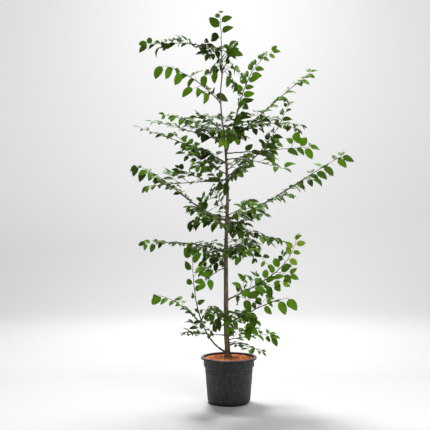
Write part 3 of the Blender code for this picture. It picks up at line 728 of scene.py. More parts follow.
def made_plain(obj):
    """Gives the object the mesh that its modifiers make, and removes them."""
    bpy.context.view_layer.update()
    graph = bpy.context.evaluated_depsgraph_get()
    mesh = bpy.data.meshes.new_from_object(obj.evaluated_get(graph))
    obj.modifiers.clear()
    obj.data = mesh
    mesh.name = obj.name


def pot_plastic(settings):
    """Black moulded plastic, dull, with dust on its rim and shoulders and faint runs; the lighter band on
    the rim's top is part dust, part painted highlight, and the dark foot is painted shade.
    """
    made, tree, shader = plain_material("pot_plastic", settings.plastic, 0.5, 0.4)
    cloudy = noise_node(tree, 45, detail=7)
    runs = noise_node(tree, 110, stretch=(1, 1, 0.15), detail=4)
    specks = noise_node(tree, 900, detail=2)
    height = place_along(tree, "Z")
    on_rim = spread(tree, height, *(POT_HEIGHT - below for below in RIM_DUST_AND_HIGHLIGHT))
    out_of_foot_shade = spread(tree, height, *FOOT_PAINTED_SHADE)
    haze = math_node(tree, "MULTIPLY", spread(tree, cloudy, 0.40, 0.62), spread(tree, runs, 0.40, 0.62))
    dusty = blend(tree, math_node(tree, "MULTIPLY", haze, 0.45), settings.plastic, settings.dust)
    specked = blend(tree, spread(tree, specks, 0.66, 0.80), dusty, settings.dust)
    # Part dust, part painted highlight: the rim's top turns a light grey.
    rim_dust_and_highlight = math_node(tree, "MULTIPLY", on_rim, spread(tree, cloudy, 0.30, 0.62))
    above = blend(tree, rim_dust_and_highlight, specked, shaded(settings.dust, 2.2))
    # Painted shade: the plastic turns near black towards the foot, standing in for the shade under the pot.
    paint(tree, shader, blend(tree, out_of_foot_shade, shaded(settings.plastic, 0.15), above))
    tree.links.new(spread(tree, cloudy, 0.0, 1.0, 0.42, 0.66), shader.inputs["Roughness"])
    bump(tree, shader, specks, 0.00015, 0.5)
    return made


class HORNBEAM_OT_pot(bpy.types.Operator):
    """Makes the nursery pot with its rolled rim, collar, ribs and drain holes"""

    bl_idname = "hornbeam.pot"
    bl_label = "Nursery pot"

    def execute(self, context):
        settings = context.scene.hornbeam_pot
        pot = turned("nursery_pot", pot_profile(settings.rib), settings.sides, out_of_round)
        cut_drain_holes(pot)
        pot.data.materials.clear()
        pot.data.materials.append(pot_plastic(settings))
        pot.data.set_sharp_from_angle(angle=math.radians(POT_SHARP))
        keep(pot, ["pot"])
        return {"FINISHED"}


def mix_height(radius):
    """The height of the mix this far from the middle, before its lumps."""
    if radius < MOUND_RADIUS:
        return MOUND_TOP - LUMP_ROOM
    if radius < MOUND_FOOT_RADIUS:
        part = (radius - MOUND_RADIUS) / (MOUND_FOOT_RADIUS - MOUND_RADIUS)
        part = part * part * (3 - 2 * part)
        return MOUND_TOP - LUMP_ROOM + (FILL_TOP + LUMP_ROOM - MOUND_TOP + LUMP_ROOM) * part
    return FILL_TOP + LUMP_ROOM * (1 - (radius - MOUND_FOOT_RADIUS) / MOUND_FOOT_RADIUS)


def mix_body(settings, sides=96, rings=44):
    """The mix as one closed body, with lumps in its top."""
    share = (FILL_TOP - COLLAR_FOOT) / (POT_HEIGHT - COLLAR_FOOT)
    inside = POT_WALL + MIX_GAP
    edge = COLLAR_FOOT_RADIUS + (COLLAR_TOP_RADIUS - COLLAR_FOOT_RADIUS) * share - inside
    profile = [(0, inside), (BASE_RADIUS - inside, inside)]
    profile += [(BODY_FOOT_RADIUS - inside, BODY_FOOT), (BODY_TOP_RADIUS - inside, BODY_TOP)]
    profile += [(COLLAR_FOOT_RADIUS - inside, COLLAR_FOOT + MIX_GAP), (edge, FILL_TOP - MIX_EDGE_DROP)]
    top = [edge * (1 - i / rings) for i in range(rings)]
    profile += [(radius, mix_height(radius)) for radius in top] + [(0, MOUND_TOP)]

    def lumpy(point):
        if point.z < FILL_TOP - 2 * LUMP_ROOM:
            return point
        lump = sum(noise.noise(point * waves) * part for waves, part in LUMPS)
        return point + UP * settings.relief * lump

    return turned("potting_mix", profile, sides, lumpy)


def mix_material(settings):
    """Damp fine mix between the chips."""
    made, tree, shader = plain_material("mix_fines", settings.soil, 0.95, 0.2)
    grains = noise_node(tree, 260, detail=5)
    patches = noise_node(tree, 40, detail=3)
    lighter = blend(tree, spread(tree, patches, 0.35, 0.65), settings.soil, settings.rust)
    paint(tree, shader, blend(tree, spread(tree, grains, 0.34, 0.52), settings.dark, lighter))
    bump(tree, shader, grains, 0.0012)
    return made


def chip_material(name, colour):
    """A chip's bark, mottled with a darker shade."""
    made, tree, shader = plain_material(name, colour, 0.85, 0.25)
    mottle = noise_node(tree, 170, detail=4)
    paint(tree, shader, blend(tree, spread(tree, mottle, 0.36, 0.66), shaded(colour, 0.72), colour))
    bump(tree, shader, noise_node(tree, 900, detail=3), 0.0003)
    return made


def pattern_group(name, meshes):
    """A collection with an object for each mesh, for a tree to pick from."""
    patterns = bpy.data.collections.new(name)
    for mesh in meshes:
        patterns.objects.link(bpy.data.objects.new(mesh.name, mesh))
    return patterns


def chip_pattern(number, draw):
    """A chip of torn bark of unit length, a flat block with an uneven outline."""
    half_long, half_broad, most_bent, uneven = 0.5, 0.28, 0.12, 0.02
    outline = []
    for k in range(CHIP_CORNERS):
        turn = math.tau * k / CHIP_CORNERS
        radius = draw.uniform(0.72, 1.0)
        outline.append((half_long * radius * math.cos(turn), half_broad * radius * math.sin(turn)))
    thick = draw.uniform(0.08, 0.14)
    bend = draw.uniform(-most_bent, most_bent)
    work = bmesh.new()
    rings = []
    for level, inset in ((-thick, 0.80), (0, 1.0), (thick, 0.78)):
        rings.append([
            work.verts.new((x * inset, y * inset, level + bend * x + draw.uniform(-uneven, uneven)))
            for x, y in outline
        ])
    for low, high in zip(rings, rings[1:]):
        for k in range(CHIP_CORNERS):
            after = (k + 1) % CHIP_CORNERS
            work.faces.new((low[k], low[after], high[after], high[k]))
    work.faces.new(list(reversed(rings[0])))
    work.faces.new(rings[-1])
    mesh = bpy.data.meshes.new(f"chip_pattern_{number}")
    work.to_mesh(mesh)
    work.free()
    return mesh


def fibre_pattern(number, draw):
    """A curled coir fibre of unit length, a three-sided strand."""
    curl = draw.uniform(0.4, 1.1) * draw.choice((-1, 1))
    sides, half_thick, wave_high, wave_turn = 3, 0.012, 0.10, 5
    points, faces = [], []
    for i in range(FIBRE_RINGS):
        share = i / (FIBRE_RINGS - 1)
        angle = curl * (share - 0.5) * 2
        centre = Vector((math.sin(angle) / curl / 2, (1 - math.cos(angle)) / curl / 2,
                         wave_high * math.sin(share * wave_turn + number)))
        thick = half_thick * (1 - 0.5 * abs(2 * share - 1))
        for k in range(sides):
            turn = math.tau * k / sides
            points.append(centre + Vector((0, math.cos(turn), math.sin(turn))) * thick)
    last = (FIBRE_RINGS - 1) * sides
    for foot in range(0, last, sides):
        for k in range(sides):
            a, b = foot + k, foot + (k + 1) % sides
            faces.append((a, b, b + sides, a + sides))
    faces += [(2, 1, 0), tuple(range(last, last + sides))]
    mesh = bpy.data.meshes.new(f"fibre_pattern_{number}")
    mesh.from_pydata(points, [], faces)
    return mesh


def group_with(name, sockets):
    """A Geometry Nodes tree with these named inputs, its inputs' sockets and the socket of its result."""
    tree = bpy.data.node_groups.new(name, "GeometryNodeTree")
    tree.interface.new_socket(name="Geometry", in_out="INPUT", socket_type="NodeSocketGeometry")
    tree.interface.new_socket(name="Geometry", in_out="OUTPUT", socket_type="NodeSocketGeometry")
    for label, kind in sockets:
        tree.interface.new_socket(name=label, in_out="INPUT", socket_type="NodeSocket" + kind)
    return tree, add_node(tree, "NodeGroupInput").outputs, add_node(tree, "NodeGroupOutput").inputs[0]


def end_tree(tree, result, made, *steps):
    """Passes what a node made through these steps, each a kind of node and its inputs, to the result."""
    for kind, inputs in steps:
        made = add_node(tree, kind, {"Geometry": made.outputs[0], **inputs})
    tree.links.new(made.outputs[0], result)


def random_between(tree, low, high, seed):
    """A number between two for each point."""
    return add_node(tree, "FunctionNodeRandomValue", {2: low, 3: high, "Seed": seed},
                    data_type="FLOAT").outputs[1]


def attribute(tree, name, kind):
    """What the mesh holds under this name."""
    return add_node(tree, "GeometryNodeInputNamedAttribute", {"Name": name}, data_type=kind).outputs[0]


def patterns_in(tree, group):
    """The objects of a collection, each an instance of its own."""
    return add_node(tree, "GeometryNodeCollectionInfo", {
        "Collection": group, "Separate Children": True, "Reset Children": True,
    }).outputs[0]


def compared(tree, first, operation, second):
    """Whether the first number is less or greater than the second."""
    return add_node(tree, "FunctionNodeCompare", {0: first, 1: second},
                    data_type="FLOAT", operation=operation).outputs[0]


def scatter_tree():
    """Strews patterns over the upward faces of a mesh, as far from its middle as the reach says."""
    tree, give, result = group_with("Strewn pieces", (
        ("Patterns", "Collection"), ("Density", "Float"), ("Length", "Float"), ("Tilt", "Float"),
        ("Reach", "Float"), ("Seed", "Int"), ("Finish", "Material"),
    ))
    normal = add_node(tree, "GeometryNodeInputNormal").outputs[0]
    position = add_node(tree, "GeometryNodeInputPosition").outputs[0]
    facing = add_node(tree, "ShaderNodeSeparateXYZ", {0: normal}).outputs
    place = add_node(tree, "ShaderNodeSeparateXYZ", {0: position}).outputs
    across = add_node(tree, "ShaderNodeCombineXYZ", {"X": place["X"], "Y": place["Y"]})
    from_middle = add_node(tree, "ShaderNodeVectorMath", {0: across.outputs[0]}, operation="LENGTH")
    near = compared(tree, from_middle.outputs["Value"], "LESS_THAN", give["Reach"])
    upward = compared(tree, facing["Z"], "GREATER_THAN", UPWARD)
    chosen = add_node(tree, "FunctionNodeBooleanMath", {0: near, 1: upward}, operation="AND")
    points = add_node(tree, "GeometryNodeDistributePointsOnFaces", {
        "Mesh": give["Geometry"], "Selection": chosen.outputs[0], "Density": give["Density"],
        "Seed": give["Seed"],
    })
    tilt_low = math_node(tree, "MULTIPLY", give["Tilt"], -1.0)
    low = add_node(tree, "ShaderNodeCombineXYZ", {"X": tilt_low, "Y": tilt_low, "Z": 0.0})
    high = add_node(tree, "ShaderNodeCombineXYZ", {"X": give["Tilt"], "Y": give["Tilt"], "Z": math.tau})
    turn = add_node(tree, "FunctionNodeRandomValue", {
        "Min": low.outputs[0], "Max": high.outputs[0], "Seed": give["Seed"],
    }, data_type="FLOAT_VECTOR")
    smallest = math_node(tree, "MULTIPLY", give["Length"], SMALLEST_CHIP)
    strewn = add_node(tree, "GeometryNodeInstanceOnPoints", {
        "Points": points.outputs["Points"], "Instance": patterns_in(tree, give["Patterns"]),
        "Pick Instance": True, "Rotation": turn.outputs[0],
        "Scale": random_between(tree, smallest, give["Length"], give["Seed"]),
    })
    end_tree(tree, result, strewn, ("GeometryNodeRealizeInstances", {}),
             ("GeometryNodeSetMaterial", {"Material": give["Finish"]}))
    return tree


def made_by(tree, name, source_mesh, values):
    """A plain object that the tree makes from this mesh, with its named inputs set."""
    obj = bpy.data.objects.new(name, source_mesh)
    bpy.context.scene.collection.objects.link(obj)
    modifier = obj.modifiers.new(tree.name, "NODES")
    modifier.node_group = tree
    for item in tree.interface.items_tree:
        if item.in_out == "INPUT" and item.name in values:
            modifier[item.identifier] = values[item.name]
    made_plain(obj)
    if not obj.data.polygons:
        raise RuntimeError(f"{name} came out empty")
    return obj


def remove_patterns(patterns):
    """Removes a collection of patterns with its objects."""
    for obj in list(patterns.objects):
        bpy.data.objects.remove(obj, do_unlink=True)
    bpy.data.collections.remove(patterns)


class HORNBEAM_OT_potting_mix(bpy.types.Operator):
    """Fills the pot with lumpy mix and strews bark chips and coir fibres over it"""

    bl_idname = "hornbeam.potting_mix"
    bl_label = "Potting mix"

    def execute(self, context):
        settings = context.scene.hornbeam_mix
        body = mix_body(settings)
        body.data.materials.append(mix_material(settings))
        tree = scatter_tree()
        draw = random.Random(settings.seed)
        chips = pattern_group("chip_patterns", [chip_pattern(i, draw) for i in range(CHIP_FORMS)])
        fibres = pattern_group("fibre_patterns", [fibre_pattern(i, draw) for i in range(FIBRE_FORMS)])
        layers = (
            # name, patterns, colour, pieces a square metre, length, tilt, reach from the middle
            ("chips_rust", chips, settings.rust, 26000, 0.0130, 0.75, 0.115),
            ("chips_tan", chips, settings.tan, 11000, 0.0120, 0.80, 0.115),
            ("chips_dark", chips, settings.dark, 9000, 0.0150, 0.90, 0.114),
            # painted shade: the darkest chips, only near the trunk's foot
            ("chips_damp", chips, settings.damp, 110000, 0.0100, 0.70, 0.043),
            ("coir_fibres", fibres, settings.tan, 5200, 0.022, 0.35, 0.110),
        )
        for number, (name, patterns, colour, density, length, tilt, reach) in enumerate(layers):
            strewn = made_by(tree, name, body.data, {
                "Patterns": patterns, "Density": density, "Length": length, "Tilt": tilt,
                "Reach": reach, "Seed": settings.seed + number,
                "Finish": chip_material(name, colour),
            })
            keep(strewn, ["substrate"])
        remove_patterns(chips)
        remove_patterns(fibres)
        keep(body, ["substrate"])
        return {"FINISHED"}


@dataclass
class Shoot:
    """A centre line with a radius at each point, and the nodes where leaves and twigs leave it."""

    points: list
    radii: list
    nodes: list  # point, way along the shoot, side that it leaves to, share of the shoot's length

    def at(self, share):
        """The point, direction and radius at this share of its length."""
        steps = [(b - a).length for a, b in zip(self.points, self.points[1:])]
        left = share * sum(steps)
        for i, step in enumerate(steps):
            if left <= step or i == len(steps) - 1:
                part = min(left / step, 1.0)
                point = self.points[i].lerp(self.points[i + 1], part)
                radius = self.radii[i] + (self.radii[i + 1] - self.radii[i]) * part
                return point, (self.points[i + 1] - self.points[i]).normalized(), radius
            left -= step

    def length(self):
        """The length along its points."""
        return sum((b - a).length for a, b in zip(self.points, self.points[1:]))


def outward(bearing):
    """The level way out at this bearing."""
    return Vector((math.cos(math.radians(bearing)), math.sin(math.radians(bearing)), 0))


def smooth_between(start, leaving, end, arriving, t):
    """The value at t, from 0 to 1, on a smooth line from start to end that has these speeds there."""
    return (
        start * (2 * t**3 - 3 * t**2 + 1) + leaving * (t**3 - 2 * t**2 + t)
        + end * (3 * t**2 - 2 * t**3) + arriving * (t**3 - t**2)
    )


def trunk_at(height):
    """The trunk's centre and radius at this height, on a smooth line through its stations."""
    rows = TRUNK_STATIONS
    upper = next((i for i, row in enumerate(rows) if row[0] > height), len(rows) - 1)
    upper = max(upper, 1)
    low, high = rows[upper - 1], rows[upper]
    before, after = rows[max(upper - 2, 0)], rows[min(upper + 1, len(rows) - 1)]
    step = high[0] - low[0]
    t = (height - low[0]) / step
    values = []
    for k in (1, 2, 3):
        leaving = (high[k] - before[k]) / (high[0] - before[0]) * step
        arriving = (after[k] - low[k]) / (after[0] - low[0]) * step
        values.append(smooth_between(low[k], leaving, high[k], arriving, t))
    return Vector((values[0], values[1], height)), values[2]


def limb_curve(start, limb):
    """A smooth line from start to the limb's tip, in the upright plane of its bearing."""
    out = outward(limb.bearing)
    end = start + out * limb.reach + UP * limb.rise
    pull = (end - start).length
    leave, arrive = math.radians(limb.leave), math.radians(limb.arrive)
    leaving = (out * math.cos(leave) + UP * math.sin(leave)) * pull
    arriving = (out * math.cos(arrive) + UP * math.sin(arrive)) * pull
    return lambda t: smooth_between(start, leaving, end, arriving, t)


def spray_axes(along, face):
    """The way that a spray spreads and the way that it faces, turned this far towards the front."""
    across = UP.cross(along)
    if across.length < STEEP:
        across = Vector((1, 0, 0))
    across.normalize()
    if across.y < 0:
        across.negate()
    above = along.cross(across)
    if above.z < 0 or (above.z < STEEP and above.y > 0):
        above.negate()
    turned_by = math.radians(face)
    spread_way = across * math.cos(turned_by) + above * math.sin(turned_by)
    facing = above * math.cos(turned_by) - across * math.sin(turned_by)
    return spread_way, facing


def grown_shoot(curve, length, radius_at, limb, face, first_side, start=None):
    """A shoot along a curve, bent a little to and fro and thickened at each of its nodes."""
    count = max(2, round(length / (NODE_STEP * limb.leaf * limb.gap)))
    joints, sides, swollen = [], [], []
    for i in range(count + 1):
        share = i / count
        point = curve(share)
        ahead = (curve(min(share + LOOK_ALONG, 1)) - curve(max(share - LOOK_ALONG, 0))).normalized()
        side = first_side * (-1) ** i
        across, _ = spray_axes(ahead, face)
        bend = 0 if i in (0, count) else ZIGZAG
        joints.append(point + across * (side * bend))
        sides.append(side)
        swollen.append(radius_at(share) * (1 + NODE_SWELLING))
    points, radii = [], []
    for i in range(count):
        a, b = joints[max(i - 1, 0)], joints[i]
        c, d = joints[i + 1], joints[min(i + 2, count)]
        for step in range(SPANS):
            t = step / SPANS
            square, cube = 2 * a - 5 * b + 4 * c - d, 3 * b - a - 3 * c + d
            points.append(0.5 * (2 * b + (c - a) * t + square * t * t + cube * t**3))
            radii.append(swollen[i] if step == 0 else radius_at((i + t) / count))
    points.append(joints[-1])
    radii.append(radius_at(1.0))
    nodes = []
    for i in range(1, count + 1):
        before = points[SPANS * i - 1]
        nodes.append((joints[i], (joints[i] - before).normalized(), sides[i], i / count))
    if start is not None:
        points.insert(0, start)
        radii.insert(0, radii[0])
    return Shoot(points, radii, nodes)


def limb_shoot(limb, carrier, carrier_bare, draw):
    """A limb from the wood that carries it to its tip, with a collar where it leaves the bark."""
    out = outward(limb.bearing)
    if limb.foot >= TRUNK_TOP:
        inside, start = None, trunk_at(TRUNK_TOP)[0]
    elif carrier:
        inside, along, radius = carrier.at(limb.foot * carrier_bare)
        start = inside + out * radius
    else:
        inside, radius = trunk_at(limb.foot)
        start = inside + out * radius
    curve = limb_curve(start, limb)
    marks = [curve(i / CURVE_STEPS) for i in range(CURVE_STEPS + 1)]
    length = sum((b - a).length for a, b in zip(marks, marks[1:]))

    def radius_at(share):
        plain = LIMB_TIP_RADIUS + (limb.stout - LIMB_TIP_RADIUS) * (1 - share) ** LIMB_TAPER
        if inside is None:
            return plain
        return plain * (1 + LIMB_COLLAR * math.exp(-share * length / (LIMB_COLLAR_LONG * limb.stout)))

    return grown_shoot(curve, length, radius_at, limb, limb.face, draw.choice((-1, 1)), inside)


def twig_shoot(point, along, side, radius, limb, long, draw):
    """A side twig that leaves a node, straight at first and then bending down a little."""
    face = limb.face * TWIG_FACE + draw.uniform(-TWIG_FACE_TURN, TWIG_FACE_TURN)
    across, _ = spray_axes(along, face)
    spread_by = math.radians(limb.spread + draw.uniform(-TWIG_SPREAD_TURN, TWIG_SPREAD_TURN))
    way = along * math.cos(spread_by) + across * (side * math.sin(spread_by))
    way = (way + UP * (limb.lift + draw.uniform(-TWIG_LIFT_TURN, TWIG_LIFT_TURN))).normalized()
    droop = draw.uniform(*TWIG_DROOP)
    sweep = across * (side * draw.uniform(*TWIG_SWEEP))

    def curve(share):
        run = long * share
        return point + way * run - UP * (droop * run * run) + sweep * (run * run)

    foot = min(TWIG_FOOT_RADIUS, radius * TWIG_STEM_SHARE)

    def radius_at(share):
        return TWIG_TIP_RADIUS + (foot - TWIG_TIP_RADIUS) * (1 - share)

    return grown_shoot(curve, long, radius_at, limb, face, draw.choice((-1, 1)))


def tube(points, radii, sides):
    """Points and faces of a closed tube along a line."""
    made, faces = [], []
    along = (points[1] - points[0]).normalized()
    right = along.orthogonal().normalized()
    last = len(points) - 1
    for i, (centre, radius) in enumerate(zip(points, radii)):
        along = (points[min(i + 1, last)] - points[max(i - 1, 0)]).normalized()
        right = (right - along * right.dot(along)).normalized()
        over = along.cross(right)
        for k in range(sides):
            turn = math.tau * k / sides
            made.append(centre + (right * math.cos(turn) + over * math.sin(turn)) * radius)
    for i in range(last):
        for k in range(sides):
            a, b = i * sides + k, i * sides + (k + 1) % sides
            faces.append((a, b, b + sides, a + sides))
    faces.append(tuple(reversed(range(sides))))
    faces.append(tuple(range(last * sides, (last + 1) * sides)))
    return made, faces


class Crowd:
    """What already stands in the crown, so that nothing new touches it."""

    def __init__(self):
        self.cells = {}

    @staticmethod
    def box(points):
        """The lowest and the highest value of the points along each axis."""
        return [(min(p[k] for p in points), max(p[k] for p in points)) for k in range(3)]

    @staticmethod
    def cells_of(box):
        """The cells that a box reaches into."""
        limits = [(math.floor(low / CROWD_CELL), math.floor(high / CROWD_CELL)) for low, high in box]
        ranges = [range(low, high + 1) for low, high in limits]
        return [(i, j, k) for i in ranges[0] for j in ranges[1] for k in ranges[2]]

    def add(self, owner, points, faces):
        """Puts these faces into the crown."""
        box = self.box(points)
        entry = (owner, box, BVHTree.FromPolygons(points, faces))
        for cell in self.cells_of(box):
            self.cells.setdefault(cell, []).append(entry)

    def is_free(self, points, faces, own):
        """Whether these faces touch nothing, apart from the shoots named in own."""
        box = self.box(points)
        tree = None
        for cell in self.cells_of(box):
            for owner, other, standing in self.cells.get(cell, ()):
                if owner in own:
                    continue
                if any(box[k][0] > other[k][1] or box[k][1] < other[k][0] for k in range(3)):
                    continue
                tree = tree or BVHTree.FromPolygons(points, faces)
                if tree.overlap(standing):
                    return False
        return True


@dataclass
class Leaf:
    """Where one leaf stands: its stalk's root, the ways it points and faces, its length and tint."""

    root: Vector
    way: Vector
    face: Vector
    long: float
    tint: str


def leaf_hull(root, way, face, long):
    """A plain blade with the leaf's outline and bend, to test what it would touch."""
    broad_at, broad_drop, half_broad = 0.42, 0.06, 0.28
    tip_at, tip_drop = 0.90, 0.30
    side = way.cross(face)
    stalk = long * LEAF_STALK
    broad = root + way * (stalk + long * broad_at) - face * (long * broad_drop)
    tip = root + way * (stalk + long * tip_at) - face * (long * tip_drop)
    half = long * half_broad
    points = [root + way * stalk, broad - side * half, broad + side * half, tip]
    return points, [(0, 2, 1), (1, 2, 3)]


def tint_of(lightness):
    """The name of the green for this lightness."""
    for name, limit in zip(TINTS, TINT_LIMITS):
        if lightness < limit:
            return name
    return TINTS[-1]


def leaves_on(shoot, limb, stem, own, crowd, draw, first, along_limb, taken=()):
    """Leaves left and right by turns at a shoot's nodes that no twig has taken, where they have room."""
    length = shoot.length()
    lightness = draw.gauss(limb.light, SPRAY_LIGHT_DRIFT)
    last_point, last_along, last_side, _ = shoot.nodes[-1]
    end_leaf = (last_point, last_along, -last_side, 1.0)
    leaves = []
    for number, (point, along, side, share) in enumerate((*shoot.nodes, end_leaf)):
        is_end = number == len(shoot.nodes)
        if share * length < first or share in taken or (draw.random() < BARE_NODES and share < AT_TIP):
            continue
        out = along_limb[0] + (along_limb[1] - along_limb[0]) * share
        size = limb.leaf * (1 + (limb.tip_leaf - 1) * out**2 + FOOT_LEAF * (1 - out) ** 2)
        young = 0.0
        if limb.tip_leaf <= 1:
            young = YOUNG_SMALLER * max(0.0, (share - YOUNG_FROM) / YOUNG_PART) * draw.random()
        for attempt in range(LEAF_TRIES):
            turn = draw.uniform(-LEAF_TURN, LEAF_TURN)
            across, above = spray_axes(along, limb.face + limb.tip_face * out**3 + turn)
            spread_by = math.radians(LEAF_SPREAD + draw.uniform(-LEAF_SPREAD_TURN, LEAF_SPREAD_TURN))
            spread_by *= END_LEAF_SPREAD if is_end else 1.0
            way = along * math.cos(spread_by) + across * (side * math.sin(spread_by))
            hang = (limb.hang + limb.tip_hang * out**3) * draw.uniform(*LEAF_HANG)
            way = (way - UP * (hang + draw.gauss(0.0, LEAF_HANG_DRIFT))).normalized()
            face = (above - way * above.dot(way)).normalized()
            long = size * draw.uniform(*LEAF_LENGTHS) * (1 - young) * LEAF_TRY_SMALLER**attempt
            hull, faces = leaf_hull(point, way, face, long)
            if not is_in_space(hull[-1], stem) or not crowd.is_free(hull, faces, own):
                continue
            crowd.add(f"{own[0]}_leaf_{number}", hull, faces)
            lighter = TIP_LIGHT * (out - 0.5) + draw.gauss(0.0, LEAF_LIGHT_DRIFT) + YOUNG_LIGHTER * young
            leaves.append(Leaf(point, way, face, long, tint_of(lightness + lighter)))
            break
    return leaves


def is_in_space(tip, stem):
    """Whether a leaf's tip stays near its limb, above the rim and inside the solids' box."""
    if tip.z < POT_HEIGHT + RIM_CLEARANCE:
        return False
    if any(tip[k] < SOLID_BOX[0][k] or tip[k] > SOLID_BOX[1][k] for k in range(3)):
        return False
    return min((tip - point).length for point in stem.points[::SPANS]) < SPACE_RADIUS


@dataclass
class GrownLimb:
    """A limb with everything that grows on it."""

    limb: Limb
    stem: Shoot
    twigs: list
    leaves: list


@cache
def grown_crown():
    """Every limb with its twigs and leaves, grown once by the seeded rule: all the stems come first."""
    crowd = Crowd()
    count = int((TRUNK_TOP - TRUNK_FOOT) / TRUNK_TEST_STEP) + 1
    heights = [TRUNK_FOOT + TRUNK_TEST_STEP * i for i in range(count)]
    crowd.add("trunk", *tube(*trunk_line(heights), TRUNK_TEST_SIDES))
    stems = {}
    for number, limb in enumerate(LIMBS):
        draw = random.Random(limb.seed or FIRST_SEED + number)
        carrier = next((other for other in LIMBS if other.name == limb.carrier), None)
        stem = limb_shoot(limb, stems.get(limb.carrier), carrier.bare if carrier else 0, draw)
        stems[limb.name] = stem
        crowd.add(limb.name, *tube(stem.points[1:], stem.radii[1:], LIMB_TEST_SIDES))
    crown = []
    for number, limb in enumerate(LIMBS):
        draw = random.Random((limb.seed or FIRST_SEED + number) + LEAF_SEED_STEP)
        stem = stems[limb.name]
        grown = []
        taken = set()
        first = max(TWIG_FIRST, limb.leafless)
        for i in range(limb.twigs):
            part = ((i + draw.uniform(*TWIG_ROOM)) / limb.twigs) ** limb.crowding
            share = first + (TWIG_LAST - first) * part
            taken |= grow_twig(limb, stem, share, (limb.name,), grown, crowd, draw)
        first = max(FIRST_STEM_LEAF, limb.leafless * stem.length())
        leaves = leaves_on(stem, limb, stem, (limb.name,), crowd, draw, first, (0.0, 1.0), taken)
        for twig, own, out, used in grown:
            leaves += leaves_on(twig, limb, stem, own, crowd, draw, FIRST_TWIG_LEAF, (out, out), used)
        crown.append(GrownLimb(limb, stem, [item[0] for item in grown], leaves))
    return crown


def trunk_line(heights):
    """The trunk's centres and its radii at these heights."""
    return zip(*(trunk_at(height) for height in heights))


def grow_twig(limb, carrier, share, own, grown, crowd, draw):
    """Grows a twig from the carrier's node nearest this share, with a finer twig on a long one.

    Returns the share of the node that it takes, in a set, which is empty where it has no room.
    """
    point, along, side, share = min(carrier.nodes, key=lambda item: abs(item[3] - share))
    is_fine = len(own) > 1
    if is_fine:
        long = max(FINE_TWIG_SHORTEST, carrier.length() * (1 - share) * draw.uniform(*FINE_TWIG_LENGTHS))
        out = FINE_TWIG_OUT
    else:
        long = limb.twig * (TWIG_SHORTEST + TWIG_GROWTH * (1 - share)) * draw.uniform(*TWIG_LENGTHS)
        out = share
    twig = twig_shoot(point, along, side, carrier.at(share)[2], limb, long, draw)
    name = f"{limb.name}_twig_{len(grown)}"
    clear = [radius + LEAF_CLEARANCE for radius in twig.radii[1:]]
    if not crowd.is_free(*tube(twig.points[1:], clear, TWIG_TEST_SIDES), own):
        return set()
    crowd.add(name, *tube(twig.points, twig.radii, TWIG_TEST_SIDES))
    used = set()
    grown.append((twig, (name, *own), out, used))
    if not is_fine and long > FORKING_TWIG and draw.random() < FORKING_SHARE:
        used |= grow_twig(limb, twig, draw.uniform(*FINE_TWIG_FOOT), (name, *own), grown, crowd, draw)
    return {share}


def side_of(limb):
    """The side of the crown that a limb belongs to, as its solid's name says."""
    return "left" if limb.name == "leader" else limb.name.split("_")[0]


def bark_skin(points, radii, sides, relief, step):
    """A closed tube with the bark's relief, its rings this far apart."""
    count = max(3, round(Shoot(points, radii, []).length() / step))
    fine = resampled(points, radii, [i / count for i in range(count + 1)])
    made, faces = tube(*zip(*fine), sides)
    for i, (centre, radius) in enumerate(fine):
        for at in range(i * sides, (i + 1) * sides):
            out = (made[at] - centre).normalized()
            made[at] = made[at] + out * relief(made[at], out, radius)
    return made, faces


def resampled(points, radii, shares):
    """Points and radii at these shares of a line's length."""
    marks = [0.0]
    for a, b in zip(points, points[1:]):
        marks.append(marks[-1] + (b - a).length)
    found, i = [], 0
    for share in shares:
        want = share * marks[-1]
        while i < len(points) - 2 and marks[i + 1] < want:
            i += 1
        part = min(1.0, max(0.0, (want - marks[i]) / (marks[i + 1] - marks[i])))
        found.append((points[i].lerp(points[i + 1], part), radii[i] + (radii[i + 1] - radii[i]) * part))
    return found


def grain(point, across, along):
    """Noise in bark, with this many waves a metre across the wood and along it."""
    return noise.noise(Vector((point.x * across, point.y * across, point.z * along)))


def trunk_relief(settings, feet):
    """How far the trunk's bark stands out at a point: flutes, ridges, lenticels and branch collars."""
    flute_deep, lobe_deep, lobe_fall, pore_from = 0.10, 0.10, 0.016, 0.42
    collar_high, collar_wide, collar_near = 0.45, 2.2, 0.03

    def relief(point, out, radius):
        flute = grain(Vector((out.x, out.y, point.z)), 1.4, 3.5) * flute_deep * radius
        ridge = grain(point, 300, 38)
        rough = grain(point, 650, 260)
        pore = max(0.0, grain(point, 330, 900) - pore_from)
        root = math.exp(-(point.z - TRUNK_STATIONS[1][0]) / lobe_fall)
        lobe = lobe_deep * radius * root * math.cos(4 * math.atan2(out.y, out.x) + 0.8)
        collar = sum(
            collar_high * size * math.exp(-((point - foot).length / (collar_wide * size)) ** 2)
            for foot, size in feet if abs(foot.z - point.z) < collar_near
        )
        return flute + settings.relief * (ridge + 0.45 * rough + 2.0 * pore) + lobe + collar

    return relief


def limb_relief(point, out, radius):
    """Small unevenness of a limb's bark."""
    return (noise.noise(point * 420) * 0.06 + grain(point, 160, 160) * 0.06) * radius


def bark_material(name, pale, dark, scale):
    """Young bark: fine furrows along the wood, pale pores and a worn bloom."""
    made, tree, shader = plain_material(name, pale, 0.82, 0.3)
    furrows = noise_node(tree, scale, stretch=(1, 1, 0.16), detail=6)
    patches = noise_node(tree, scale * 0.12, detail=3)
    pores = noise_node(tree, scale * 1.6, stretch=(1, 1, 2.2), detail=2)
    worn = blend(tree, spread(tree, patches, 0.35, 0.65), dark, pale)
    lined = blend(tree, spread(tree, furrows, 0.38, 0.60), dark, worn)
    paint(tree, shader, blend(tree, spread(tree, pores, 0.66, 0.74), lined, shaded(pale, 1.5)))
    bump(tree, shader, furrows, 0.0006, 0.8)
    return made


